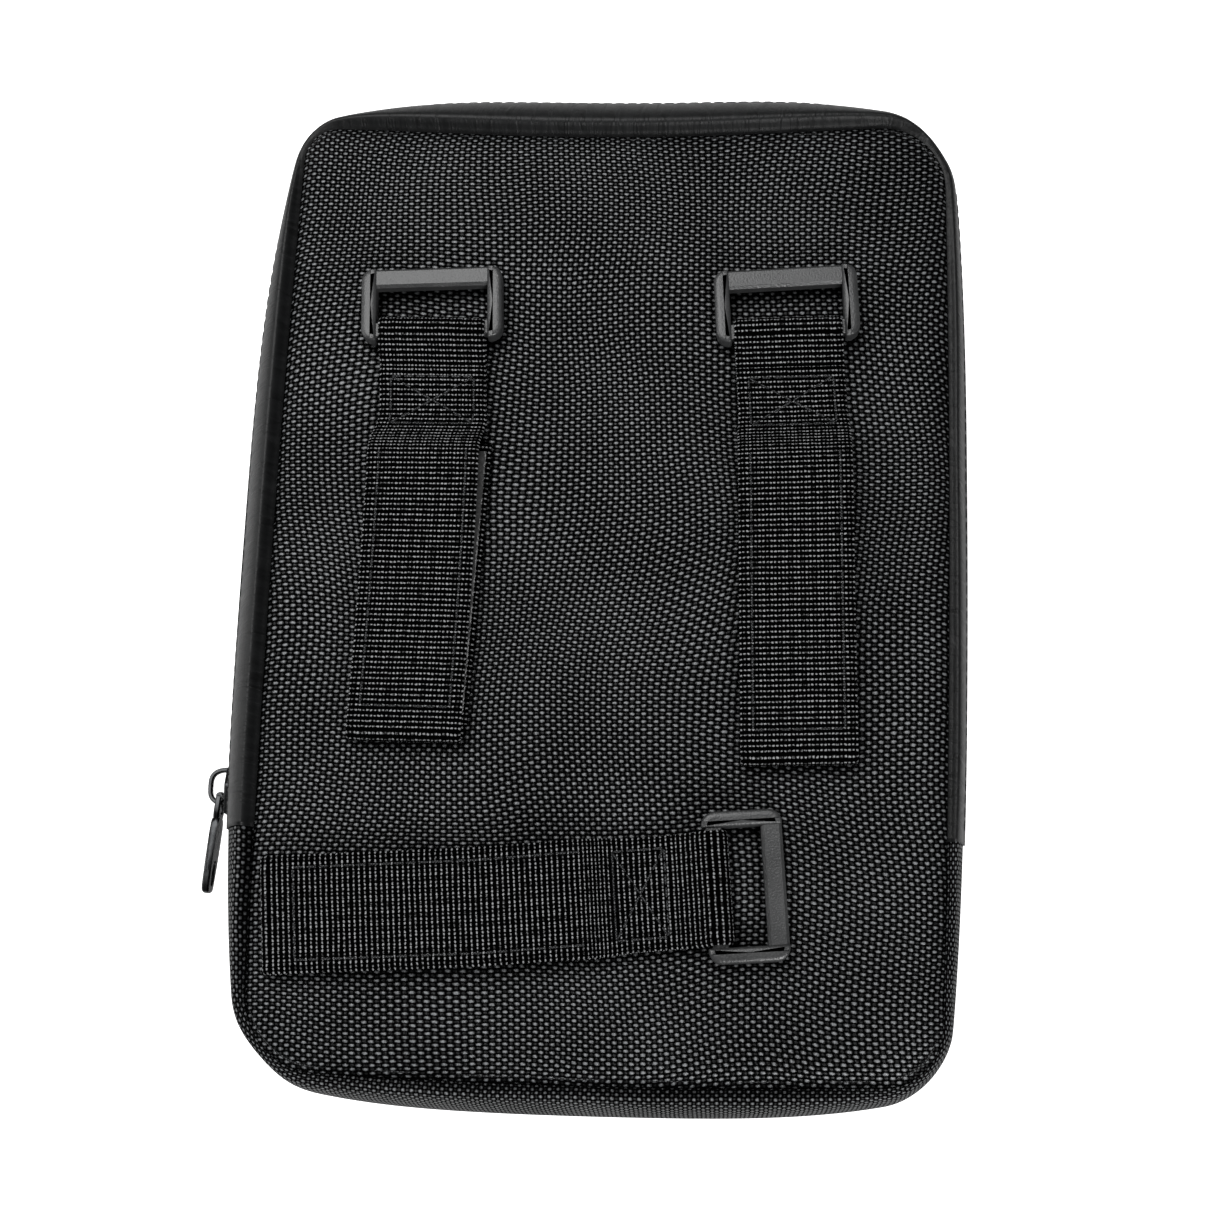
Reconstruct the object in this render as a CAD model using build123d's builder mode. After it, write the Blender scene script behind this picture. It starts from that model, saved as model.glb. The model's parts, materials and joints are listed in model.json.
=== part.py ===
"""A padded, zipped flat case with three strap-and-ring fastenings on its back.

It lies on its front cover: X runs across it, Y from its bottom to its top, and Z up through
its thickness. The origin is on the outside of the front cover, at its centre. Millimetres.

The zip runs up the left wall, over the top and down the right wall. Once it is undone, the
upper part of the back folds up as a flap, and what lies below the fold stays a pocket.
"""

import os
from math import cos, radians, sin

from build123d import *

# ---- the case ----
panel_width = 151.0        # front and back panels, seam to seam
panel_height = 213.0
panel_corner = 17.0
case_depth = 40.0          # outside of the front to outside of the back
bulge = 7.5                # how far the side wall swells past the seam
wall_cloth = 1.2           # coated band and woven gusset
panel_cloth = 1.0
foam_thick = 4.0
lining_thick = 0.6
foam_inset = 0.8           # foam and lining stop this far inside the seam
binding_wide = 6.0         # bound seam allowance on the inside
binding_thick = 1.4
binding_inset = 1.4

# ---- where the case opens ----
fold_y = -46.0             # the back folds here
split_y = -40.1            # the back half of the zip starts moving here
gusset_y = -55.5           # the zip ends and the woven gusset starts here
body_gap = 0.3             # between parts that move apart

# ---- the zip ----
tape_thick = 0.6
tape_reach = 7.5           # half the width of the two tapes together
tooth_deep = 2.2           # out from the tape
tooth_wide = 2.2
row_gap = 1.2              # between the two rows of teeth
tape_gap = 1.4
stop_long = 2.2
stop_thick = 0.5           # metal of the end stop round the teeth
stop_clear = 0.1

# ---- the slider and its pull ----
slider_y = -45.9
slider_long = 10.6
slider_wide = 8.4
plate_thick = 1.0
slider_clear = 0.3         # plates to tape and teeth
nose_taper = 1.5
lip_wide = 0.9
lip_long = 7.2
lip_at = -1.0              # middle of the lips from the middle of the slider
lip_tape_clear = 0.5
post_long = 2.6
post_thick = 0.7
post_at = -3.4
arch_y = -47.1             # middle of the arch that carries the pull
arch_foot = 3.4            # half length of the arch at the plate
arch_top = 2.4             # half length of the arch at its crown
arch_rise = 3.9
arch_thick = 1.1
arch_wide = 1.8
pull_long = 21.8           # pivot to tip
pull_wide = 5.2
pull_thick = 1.7
pull_corner = 1.5
pull_lean = 5.0            # degrees out from the wall at rest
pull_bar_r = 0.7           # cross bar held under the arch
fork_long = 3.6            # pivot to the end of the gap that the arch passes through
slot_long = 5.6
slot_wide = 2.6
slot_margin = 1.3

# ---- straps and rings ----
webbing_wide = 25.0
webbing_thick = 1.4
webbing_lift = 0.2         # off the panel
ring_side = 3.1            # side plates, across the strap
ring_side_clear = 0.4      # side plate to webbing edge
ring_long = 16.5
ring_corner = 3.2
ring_thick = 4.2
ring_edge = 0.6
far_bar_wide = 4.3
far_bar_thick = 3.0
near_bar_d = 3.0
near_bar_inset = 2.3
bar_clear = 0.3
loop_long = 21.3           # ring bar to the cut end of the folded webbing
loop_close = 8.0           # the two layers of the loop meet this far from the bar
loop_flat = 1.2            # level stretch behind the bar
fold_gap = 0.1             # between the two stitched layers
rise_long = 3.5            # from the end of the loop up to the height of the arm
stack_clear = 0.5          # from there to the base and its tapes
hook_tape_wide = 20.0      # hook and loop tapes
hook_tape_thick = 0.85
curl_clear = 3.6           # hinge to the far end of the tapes and of the base

# Each strap: ring bar centre, heading of the ring in degrees, ring bar to the hinge.
straps = {
    "left": ((-40.6, 55.4), 89.5, 90.3),
    "right": ((38.7, 55.6), 92.0, 94.2),
    "bottom": ((24.7, -67.2), 4.6, 94.2),
}

# ---- worked out from the above ----
half_w = panel_width / 2
half_h = panel_height / 2
mid_z = case_depth / 2
tape_face = bulge * (1 - (tape_reach / mid_z) ** 2) ** 0.5 - 0.2
tape_back = tape_face - tape_thick
tooth_face = tape_face + tooth_deep
tooth_top = row_gap / 2 + tooth_wide
bar_z = webbing_lift + webbing_thick + bar_clear + near_bar_d / 2
loop_mid = near_bar_d / 2 + bar_clear + webbing_thick / 2     # radius of the webbing round the bar
ring_inner = webbing_wide + 2 * ring_side_clear
base_top = webbing_lift + webbing_thick
arm_z = base_top + 2 * hook_tape_thick + body_gap      # underside of the arm
rise_end = loop_long + rise_long
stack_start = rise_end + stack_clear                   # ring bar to the base and its tapes

os.makedirs("parts", exist_ok=True)
made = []


def keep(part, name):
    """Labels a finished piece and writes it as parts/name.step."""
    part.label = name
    export_step(part, f"parts/{name}.step")
    made.append(name)


def round_path(start_y, up):
    """The seam line from the left wall at start_y, round the top (up=1) or the bottom (up=-1), to the right wall."""
    with BuildLine() as path:
        turn_y = up * (half_h - panel_corner)
        flat_x = half_w - panel_corner
        Line((-half_w, start_y), (-half_w, turn_y))
        TangentArc((-half_w, turn_y), (-flat_x, up * half_h), tangent=(0, up))
        Line((-flat_x, up * half_h), (flat_x, up * half_h))
        TangentArc((flat_x, up * half_h), (half_w, turn_y), tangent=(1, 0))
        Line((half_w, turn_y), (half_w, start_y))
    return path.line


def left_plane(y):
    """A section plane on the left wall: x out from the seam, y up from mid-thickness."""
    return Plane(origin=(-half_w, y, mid_z), x_dir=(-1, 0, 0), z_dir=(0, 1, 0))


def shell_section(plane, low, high):
    """The swollen side wall between two heights, measured from mid-thickness."""
    with BuildSketch(plane) as section:
        Ellipse(bulge, mid_z)
        Ellipse(bulge - wall_cloth, mid_z - wall_cloth, mode=Mode.SUBTRACT)
        with Locations((bulge, (low + high) / 2)):
            Rectangle(2 * bulge, high - low, mode=Mode.INTERSECT)
    return section.sketch


def box_section(plane, out_low, out_high, low, high):
    with BuildSketch(plane) as section:
        with Locations(((out_low + out_high) / 2, (low + high) / 2)):
            Rectangle(out_high - out_low, high - low)
    return section.sketch


def swept_wall(section, start_y, up=1):
    with BuildPart() as wall:
        sweep(sections=section, path=round_path(start_y, up))
    return wall.part


def wall_stubs(section_at, low_y, high_y, clear_y):
    """A short straight length of wall on the left and its mirror on the right.
    Above clear_y it keeps clear of the edge of the moving panel."""
    with BuildPart() as stubs:
        add(extrude(section_at(left_plane(low_y)), amount=high_y - low_y))
        with BuildSketch(Plane.XY.offset(mid_z)):
            with Locations((-half_w, (clear_y + high_y) / 2)):
                Rectangle(2 * body_gap, high_y - clear_y)
        extrude(amount=mid_z, mode=Mode.SUBTRACT)
        mirror(about=Plane.YZ)
    return stubs.part


def panel_layer(z, thick, inset, low_y=-half_h, high_y=half_h):
    """One layer of a panel, cut to the stretch from low_y to high_y."""
    with BuildPart() as layer:
        with BuildSketch(Plane.XY.offset(z)):
            RectangleRounded(panel_width - 2 * inset, panel_height - 2 * inset, panel_corner - inset)
            with Locations((0, (low_y + high_y) / 2)):
                Rectangle(panel_width, high_y - low_y, mode=Mode.INTERSECT)
        extrude(amount=thick)
    return layer.part


def seam_binding(z, low_y=-half_h, high_y=half_h):
    """The bound seam allowance inside the case, cut to the stretch from low_y to high_y."""
    with BuildPart() as binding:
        with BuildSketch(Plane.XY.offset(z)):
            edge = binding_inset
            RectangleRounded(panel_width - 2 * edge, panel_height - 2 * edge, panel_corner - edge)
            edge = binding_inset + binding_wide
            RectangleRounded(
                panel_width - 2 * edge,
                panel_height - 2 * edge,
                panel_corner - edge,
                mode=Mode.SUBTRACT,
            )
            with Locations((0, (low_y + high_y) / 2)):
                Rectangle(panel_width, high_y - low_y, mode=Mode.INTERSECT)
        extrude(amount=binding_thick)
    return binding.part


# ---- panels: cloth, foam and lining on each side ----
lower = fold_y - body_gap / 2
upper = fold_y + body_gap / 2
cloth_z = case_depth - panel_cloth
foam_z = cloth_z - foam_thick
lining_z = foam_z - lining_thick
inner_z = panel_cloth + foam_thick + lining_thick

keep(panel_layer(0, panel_cloth, 0), "front_panel")
keep(panel_layer(panel_cloth, foam_thick, foam_inset), "front_foam")
keep(panel_layer(panel_cloth + foam_thick, lining_thick, foam_inset), "front_lining")
keep(seam_binding(inner_z), "front_seam_binding")

keep(panel_layer(cloth_z, panel_cloth, 0, high_y=lower), "back_panel_lower")
keep(panel_layer(foam_z, foam_thick, foam_inset, high_y=lower), "back_foam_lower")
keep(panel_layer(lining_z, lining_thick, foam_inset, high_y=lower), "back_lining_lower")
keep(seam_binding(lining_z - binding_thick, high_y=lower), "back_seam_binding_lower")

keep(panel_layer(cloth_z, panel_cloth, 0, low_y=upper), "back_panel_flap")
keep(panel_layer(foam_z, foam_thick, foam_inset, low_y=upper), "back_foam_flap")
keep(panel_layer(lining_z, lining_thick, foam_inset, low_y=upper), "back_lining_flap")
keep(seam_binding(lining_z - binding_thick, low_y=upper), "back_seam_binding_flap")

# ---- side wall: woven gusset below, coated bands and the zip above ----
keep(swept_wall(shell_section(left_plane(gusset_y), -mid_z, mid_z), gusset_y, up=-1), "gusset")


def band_section(plane):
    return shell_section(plane, tape_reach, mid_z)


def tape_section(plane):
    return box_section(plane, tape_back, tape_face, tape_gap / 2, tape_reach)


def tooth_section(plane):
    return box_section(plane, tape_face, tooth_face, row_gap / 2, tooth_top)


zip_layers = {"band": band_section, "zip_tape": tape_section, "zip_teeth": tooth_section}
stub_top = split_y - body_gap / 2
flap_start = split_y + body_gap / 2
for layer, section_at in zip_layers.items():
    back_at_zip_end = swept_wall(section_at(left_plane(gusset_y)), gusset_y)
    keep(mirror(back_at_zip_end, about=Plane.XY.offset(mid_z)), f"front_{layer}")
    keep(swept_wall(section_at(left_plane(flap_start)), flap_start), f"back_{layer}_flap")
    keep(wall_stubs(section_at, gusset_y, stub_top, fold_y), f"back_{layer}_ends")

# ---- end stops: a metal band crimped over the teeth at each end of the zip ----
stop_out = tooth_face + stop_clear + stop_thick
stop_half = tooth_top + stop_clear + stop_thick
with BuildPart() as zip_stops:
    with BuildSketch(left_plane(gusset_y + stop_clear)):
        with Locations(((tape_face + stop_out) / 2, 0)):
            Rectangle(stop_out - tape_face, 2 * stop_half)
        with Locations(((tape_face + stop_out - stop_thick) / 2, 0)):
            Rectangle(stop_out - stop_thick - tape_face, 2 * stop_half - 2 * stop_thick, mode=Mode.SUBTRACT)
    extrude(amount=stop_long)
    mirror(about=Plane.YZ)
keep(zip_stops.part, "zip_stops")

# ---- slider: two plates joined by a post, lips over the teeth, and an arch for the pull ----
inner_plate = tape_back - slider_clear - plate_thick
outer_plate = tooth_face + slider_clear
outer_top = outer_plate + plate_thick
slider_plan = Plane(origin=(-half_w, slider_y, mid_z), x_dir=(0, 1, 0), z_dir=(-1, 0, 0))

with BuildPart() as zip_slider:
    for height in (inner_plate, outer_plate):
        with BuildSketch(slider_plan.offset(height)) as plate:
            Rectangle(slider_long, slider_wide)
            head_corners = plate.vertices().group_by(Axis.Y)[-1]
            chamfer(head_corners, slider_wide / 4, nose_taper)
        extrude(amount=plate_thick)
    with BuildSketch(slider_plan.offset(inner_plate)):
        with Locations((post_at, 0)):
            Rectangle(post_long, post_thick)
    extrude(amount=outer_top - inner_plate)
    with BuildSketch(slider_plan.offset(tape_face + lip_tape_clear)):
        with Locations((lip_at, 0)):
            with GridLocations(0, slider_wide - lip_wide, 1, 2):
                Rectangle(lip_long, lip_wide)
    extrude(amount=outer_plate - tape_face - lip_tape_clear)
    with BuildSketch(Plane.XY.offset(mid_z - arch_wide / 2)):
        base_x = -half_w - outer_top
        for foot, top, rise in (
            (arch_foot, arch_top, arch_rise),
            (arch_foot - arch_thick, arch_top - arch_thick, arch_rise - arch_thick),
        ):
            with BuildLine():
                Polyline(
                    (base_x, arch_y + foot),
                    (base_x - rise, arch_y + top),
                    (base_x - rise, arch_y - top),
                    (base_x, arch_y - foot),
                    close=True,
                )
            make_face(mode=Mode.ADD if foot == arch_foot else Mode.SUBTRACT)
    extrude(amount=arch_wide)
keep(zip_slider.part, "zip_slider")

# ---- pull: a fork with a cross bar under the arch, then a flat tab with a slot at its tip ----
pull_x = -half_w - outer_top - arch_rise + arch_thick + body_gap + pull_bar_r
lean = radians(pull_lean)
pull_plane = Plane(
    origin=(pull_x, arch_y, mid_z),
    x_dir=(-sin(lean), -cos(lean), 0),
    z_dir=(-cos(lean), sin(lean), 0),
)
with BuildPart() as zip_pull:
    with BuildSketch(pull_plane):
        with Locations(((pull_long - pull_bar_r) / 2, 0)):
            RectangleRounded(pull_long + pull_bar_r, pull_wide, pull_corner)
        with Locations(((fork_long - pull_bar_r) / 2, 0)):
            Rectangle(fork_long + pull_bar_r, arch_wide + 2 * body_gap, mode=Mode.SUBTRACT)
        with Locations((pull_long - slot_margin - slot_long / 2, 0)):
            SlotOverall(slot_long, slot_wide, mode=Mode.SUBTRACT)
    extrude(amount=pull_thick / 2, both=True)
    with BuildSketch(Plane(origin=(pull_x, arch_y, mid_z))):
        Circle(pull_bar_r)
    extrude(amount=pull_wide / 2 - body_gap, both=True)
keep(zip_pull.part, "zip_pull")


# ---- straps: each has a base sewn to the back and an arm that peels off it ----
def strap_plane(name, along=0.0, height=0.0):
    """A level plane on a strap: x towards its ring, origin this far from the ring bar."""
    (bar_x, bar_y), heading, _ = straps[name]
    turn = radians(heading)
    return Plane(
        origin=(bar_x + along * cos(turn), bar_y + along * sin(turn), case_depth + height),
        x_dir=(cos(turn), sin(turn), 0),
        z_dir=(0, 0, 1),
    )


def upright_plane(name):
    """A plane up along the middle of a strap: x towards its ring, y up, origin under the ring bar."""
    flat = strap_plane(name)
    return Plane(origin=flat.origin, x_dir=flat.x_dir, z_dir=flat.x_dir.cross(Vector(0, 0, 1)))


def flat_strip(name, start, end, wide, height, thick):
    """A flat strip along the strap, from start to end as measured from the ring bar."""
    with BuildPart() as strip:
        with BuildSketch(strap_plane(name, (start + end) / 2, height)):
            Rectangle(end - start, wide)
        extrude(amount=thick)
    return strip.part


def ring_arm(name):
    """The webbing arm. Its end turns under round the ring bar and is stitched to its back.
    Behind that it rises over the base and its tapes, and runs on to a curl at its hinge."""
    hinge = -straps[name][2]
    layer = arm_z + webbing_thick / 2
    fold_low = webbing_lift + webbing_thick / 2
    fold_high = fold_low + webbing_thick + fold_gap
    curl_mid = (layer + fold_low) / 2
    curl_r = layer - curl_mid
    with BuildPart() as arm:
        with BuildSketch(upright_plane(name)):
            with BuildLine():
                Line((-loop_long, fold_low), (0, fold_low))
                CenterArc((0, bar_z), loop_mid, -90, 180)
                Line((0, bar_z + loop_mid), (-loop_flat, bar_z + loop_mid))
                Line((-loop_flat, bar_z + loop_mid), (-loop_close, fold_high))
                Line((-loop_close, fold_high), (-loop_long, fold_high))
                Line((-loop_long, fold_high), (-rise_end, layer))
                Line((-rise_end, layer), (hinge, layer))
                CenterArc((hinge, curl_mid), curl_r, 90, 180)
                offset(amount=webbing_thick / 2, side=Side.BOTH, mode=Mode.REPLACE)
            make_face()
        extrude(amount=webbing_wide / 2, both=True)
    return arm.part


def ring(name):
    """A moulded ring: two side plates, a flat far bar, and a round bar in the webbing loop."""
    half_inner = ring_inner / 2
    far_bar_start = ring_long - near_bar_inset - far_bar_wide
    near_end = -near_bar_inset
    with BuildPart() as body:
        with BuildSketch(strap_plane(name, 0, bar_z)):
            with Locations((ring_long / 2 - near_bar_inset, 0)):
                RectangleRounded(ring_long, ring_inner + 2 * ring_side, ring_corner)
            with Locations(((near_end + far_bar_start) / 2, 0)):
                Rectangle(far_bar_start - near_end, ring_inner, mode=Mode.SUBTRACT)
            with Locations((far_bar_start + far_bar_wide / 2, 0)):
                Rectangle(far_bar_wide, ring_inner, mode=Mode.SUBTRACT)
        extrude(amount=ring_thick / 2, both=True)
        rims = body.faces().filter_by(Axis.Z).edges()
        chamfer(rims, ring_edge)
        with BuildSketch(strap_plane(name, far_bar_start + far_bar_wide / 2, bar_z)):
            Rectangle(far_bar_wide, ring_inner + ring_side)
        extrude(amount=far_bar_thick / 2, both=True)
        across = upright_plane(name)
        with BuildSketch(across):
            with Locations((0, bar_z)):
                Circle(near_bar_d / 2)
        extrude(amount=half_inner + ring_side / 2, both=True)
    return body.part


for name, (bar, heading, hinge_far) in straps.items():
    far_end = -hinge_far + curl_clear
    keep(ring_arm(name), f"{name}_arm")
    keep(ring(name), f"{name}_ring")
    keep(flat_strip(name, far_end, -stack_start, webbing_wide, webbing_lift, webbing_thick), f"{name}_base")
    keep(flat_strip(name, far_end, -stack_start, hook_tape_wide, base_top, hook_tape_thick), f"{name}_loop_tape")
    keep(
        flat_strip(name, far_end, -stack_start, hook_tape_wide, arm_z - hook_tape_thick, hook_tape_thick),
        f"{name}_hook_tape",
    )

print(f"{len(made)} parts written")
print(f"pull pivot {pull_x:.3f} {arch_y:.3f} {mid_z:.3f}")
for name, (bar, heading, hinge_far) in straps.items():
    hinge = strap_plane(name, -hinge_far).origin
    print(f"{name}: bar z {case_depth + bar_z:.3f}, hinge {hinge.X:.3f} {hinge.Y:.3f}, arm {arm_z:.3f}")
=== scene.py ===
import json

import bmesh
import bpy
import numpy as np
from mathutils import Euler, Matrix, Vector


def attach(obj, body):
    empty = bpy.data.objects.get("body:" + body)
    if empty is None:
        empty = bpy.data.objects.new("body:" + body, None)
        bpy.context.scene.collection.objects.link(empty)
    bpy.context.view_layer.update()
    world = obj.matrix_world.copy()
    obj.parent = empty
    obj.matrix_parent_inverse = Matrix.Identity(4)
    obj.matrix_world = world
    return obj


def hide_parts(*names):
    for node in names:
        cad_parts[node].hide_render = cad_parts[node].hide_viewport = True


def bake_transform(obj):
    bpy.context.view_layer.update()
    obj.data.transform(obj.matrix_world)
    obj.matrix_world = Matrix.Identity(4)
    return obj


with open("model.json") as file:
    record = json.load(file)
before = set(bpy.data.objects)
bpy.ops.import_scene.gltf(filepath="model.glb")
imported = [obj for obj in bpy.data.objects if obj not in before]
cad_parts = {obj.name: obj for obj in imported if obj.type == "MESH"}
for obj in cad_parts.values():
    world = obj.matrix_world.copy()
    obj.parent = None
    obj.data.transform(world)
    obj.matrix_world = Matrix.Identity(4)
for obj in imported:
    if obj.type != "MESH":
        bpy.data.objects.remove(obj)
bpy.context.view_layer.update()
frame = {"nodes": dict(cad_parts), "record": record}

# A small padded zip case. It lies on its front cover, strapped side up.
# X runs across it, Y from its bottom to its top, Z up. Sizes here are millimetres, meshes are metres.

mm = 0.001
scene = bpy.context.scene
scene.view_settings.view_transform = "Standard"

cameraSetup = {
    "place": (30.2, -102.4, 484.5),      # over the bottom edge, a little to the right
    "turn": (12.24, 3.57, 1.49),         # degrees about X, Y and Z
    "lens": 62.05,
    "sensor": 36.0,
}

lampSetup = {
    # name: place, aim, size, watts
    "overheadSoftbox": ((-180, 260, 620), (0, 0, 20), (520, 420), 3.8),
    "frontSoftbox": ((230, -470, 400), (0, 0, 20), (300, 200), 3.0),
    "leftSoftbox": ((-560, 40, 260), (0, 0, 20), (300, 420), 1.1),
}
worldSetup = {"fill": 0.16, "seen": 1.0}


def addCamera(setup):
    # place in mm, turn as Euler angles in degrees, field of view from lens and sensor
    data = bpy.data.cameras.new("camera")
    data.lens = setup["lens"]
    data.sensor_width = setup["sensor"]
    data.clip_start, data.clip_end = 0.01, 20
    camera = bpy.data.objects.new("camera", data)
    scene.collection.objects.link(camera)
    camera.location = Vector(setup["place"]) * mm
    camera.rotation_euler = Euler(np.radians(setup["turn"]), "XYZ")
    scene.camera = camera


def addLamp(name, place, aim, size, watts):
    # a soft rectangle whose -Z axis is turned to look from place to aim
    data = bpy.data.lights.new(name, "AREA")
    data.shape = "RECTANGLE"
    data.size, data.size_y = size[0] * mm, size[1] * mm
    data.energy = watts
    lamp = bpy.data.objects.new(name, data)
    scene.collection.objects.link(lamp)
    lamp.location = Vector(place) * mm
    lamp.rotation_euler = (Vector(aim) - Vector(place)).to_track_quat("-Z", "Y").to_euler()


def addNode(tree, kind, inputs=None, **settings):
    # one shader node: an input is either linked, when it is given a socket, or set
    made = tree.nodes.new(kind)
    for key, value in settings.items():
        setattr(made, key, value)
    for key, value in (inputs or {}).items():
        if isinstance(value, bpy.types.NodeSocket):
            tree.links.new(value, made.inputs[key])
        else:
            made.inputs[key].default_value = value
    return made


def calc(tree, operation, a, b=0.0, c=0.0):
    # one maths node, and its result
    return addNode(tree, "ShaderNodeMath", {0: a, 1: b, 2: c}, operation=operation).outputs[0]


def addWorld(setup):
    # the world is a plain soft fill, and white where the camera or a transmission ray sees it
    world = bpy.data.worlds.new("studio")
    world.use_nodes = True
    tree = world.node_tree
    tree.nodes.clear()
    rays = addNode(tree, "ShaderNodeLightPath").outputs
    seen = calc(tree, "MAXIMUM", rays["Is Camera Ray"], rays["Is Transmission Ray"])
    level = calc(tree, "MULTIPLY_ADD", seen, setup["seen"] - setup["fill"], setup["fill"])
    glow = addNode(tree, "ShaderNodeBackground", {"Color": (1, 1, 1, 1), "Strength": level})
    addNode(tree, "ShaderNodeOutputWorld", {"Surface": glow.outputs[0]})
    scene.world = world


def addFloor():
    # pale floor that keeps the case's shadow: plain paper plus a little glow for the camera alone
    material = bpy.data.materials.new("paleFloor")
    material.use_nodes = True
    tree = material.node_tree
    tree.nodes.clear()
    paper = addNode(tree, "ShaderNodeBsdfDiffuse", {"Color": (0.80, 0.80, 0.80, 1)})
    rays = addNode(tree, "ShaderNodeLightPath").outputs
    seen = calc(tree, "MULTIPLY", rays["Is Camera Ray"], 0.93)
    glow = addNode(tree, "ShaderNodeEmission", {"Color": (1, 1, 1, 1), "Strength": seen})
    both = addNode(tree, "ShaderNodeAddShader", {0: paper.outputs[0], 1: glow.outputs[0]})
    behind = addNode(tree, "ShaderNodeNewGeometry").outputs["Backfacing"]      # clear when looked at from below
    sheer = addNode(tree, "ShaderNodeBsdfTransparent")
    mixed = addNode(tree, "ShaderNodeMixShader", {0: behind, 1: both.outputs[0], 2: sheer.outputs[0]})
    addNode(tree, "ShaderNodeOutputMaterial", {"Surface": mixed.outputs[0]})
    side = 3.0
    mesh = bpy.data.meshes.new("floor")
    mesh.from_pydata([(-side, -side, 0), (side, -side, 0), (side, side, 0), (-side, side, 0)], [], [(0, 1, 2, 3)])
    mesh.materials.append(material)
    floor = bpy.data.objects.new("floor", mesh)
    scene.collection.objects.link(floor)


addCamera(cameraSetup)
addWorld(worldSetup)
addFloor()
for lampName, (place, aim, size, watts) in lampSetup.items():
    addLamp(lampName, place, aim, size, watts)
print("camera, floor and light are in place")


def startMaterial(name):
    # an empty node tree with a shader joined to the output
    material = bpy.data.materials.new(name)
    material.use_nodes = True
    tree = material.node_tree
    tree.nodes.clear()
    shader = addNode(tree, "ShaderNodeBsdfPrincipled")
    addNode(tree, "ShaderNodeOutputMaterial", {"Surface": shader.outputs[0]})
    return material, tree, shader


def threadGrid(tree, acrossPitch, alongPitch, wobble, drift=0.0):
    # the piece's own UV, counted in threads; a slow drift and a small wobble keep the rows from running straight
    place = addNode(tree, "ShaderNodeUVMap", uv_map="cloth").outputs[0]
    moved = place
    for scale, reach in ((13.0, drift), (110.0, wobble)):
        noise = addNode(tree, "ShaderNodeTexNoise", {"Vector": place, "Scale": scale, "Detail": 1.0}).outputs["Color"]
        shift = addNode(tree, "ShaderNodeVectorMath", {0: noise, 1: (0.5, 0.5, 0.5)}, operation="SUBTRACT").outputs[0]
        push = addNode(tree, "ShaderNodeVectorMath", {0: shift, 3: reach * mm}, operation="SCALE").outputs[0]
        moved = addNode(tree, "ShaderNodeVectorMath", {0: moved, 1: push}, operation="ADD").outputs[0]
    axes = addNode(tree, "ShaderNodeSeparateXYZ", {0: moved}).outputs
    u = calc(tree, "DIVIDE", axes[0], acrossPitch * mm)
    v = calc(tree, "DIVIDE", axes[1], alongPitch * mm)
    return place, u, v


def roundThread(tree, count):
    # height across a thread: the square root of one less the squared distance from its middle
    middle = calc(tree, "SUBTRACT", calc(tree, "FRACT", count), 0.5)
    squared = calc(tree, "MULTIPLY", calc(tree, "MULTIPLY", middle, middle), 3.8)
    return calc(tree, "SQRT", calc(tree, "SUBTRACT", 1.0, squared))


def plainWeave(tree, u, v, rise):
    # each thread is a cosine that goes over one crossing and under the next, and the higher one shows
    row, column = calc(tree, "FLOOR", v), calc(tree, "FLOOR", u)
    parityRow = calc(tree, "MULTIPLY", calc(tree, "ADD", calc(tree, "SUBTRACT", u, 0.5), row), np.pi)
    parityColumn = calc(tree, "MULTIPLY", calc(tree, "ADD", calc(tree, "SUBTRACT", v, 0.5), column), np.pi)
    weft = calc(tree, "MULTIPLY_ADD", calc(tree, "COSINE", parityRow), rise, roundThread(tree, v))
    warp = calc(tree, "MULTIPLY_ADD", calc(tree, "COSINE", parityColumn), -rise, roundThread(tree, u))
    top = calc(tree, "MAXIMUM", weft, warp)
    return top, calc(tree, "GREATER_THAN", weft, warp)


def ramp(tree, value, *stops):
    # colour stops along the value: (position, colour) pairs
    made = addNode(tree, "ShaderNodeValToRGB", {0: value})
    band = made.color_ramp
    while len(band.elements) < len(stops):
        band.elements.new(0.5)
    for element, (position, colour) in zip(band.elements, stops):
        element.position = position
        element.color = (*colour, 1)
    return made.outputs[0]


def grey(level, tint=0.0):
    # a grey, a little bluer by tint
    return (level * (1 - tint), level, level * (1 + tint))


def paintedSeamShade(tree, lit):
    # painted shade: an ambient occlusion lookup darkens the colour of threads deep in a seam or under a strap's edge,
    # where little light reaches
    near = addNode(tree, "ShaderNodeAmbientOcclusion", {"Distance": 3.0 * mm}, samples=4).outputs["AO"]
    share = addNode(tree, "ShaderNodeMapRange", {0: near, 1: 0.40, 2: 0.78, 3: 0.55, 4: 1.0}).outputs[0]
    return calc(tree, "MULTIPLY", lit, share)


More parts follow.
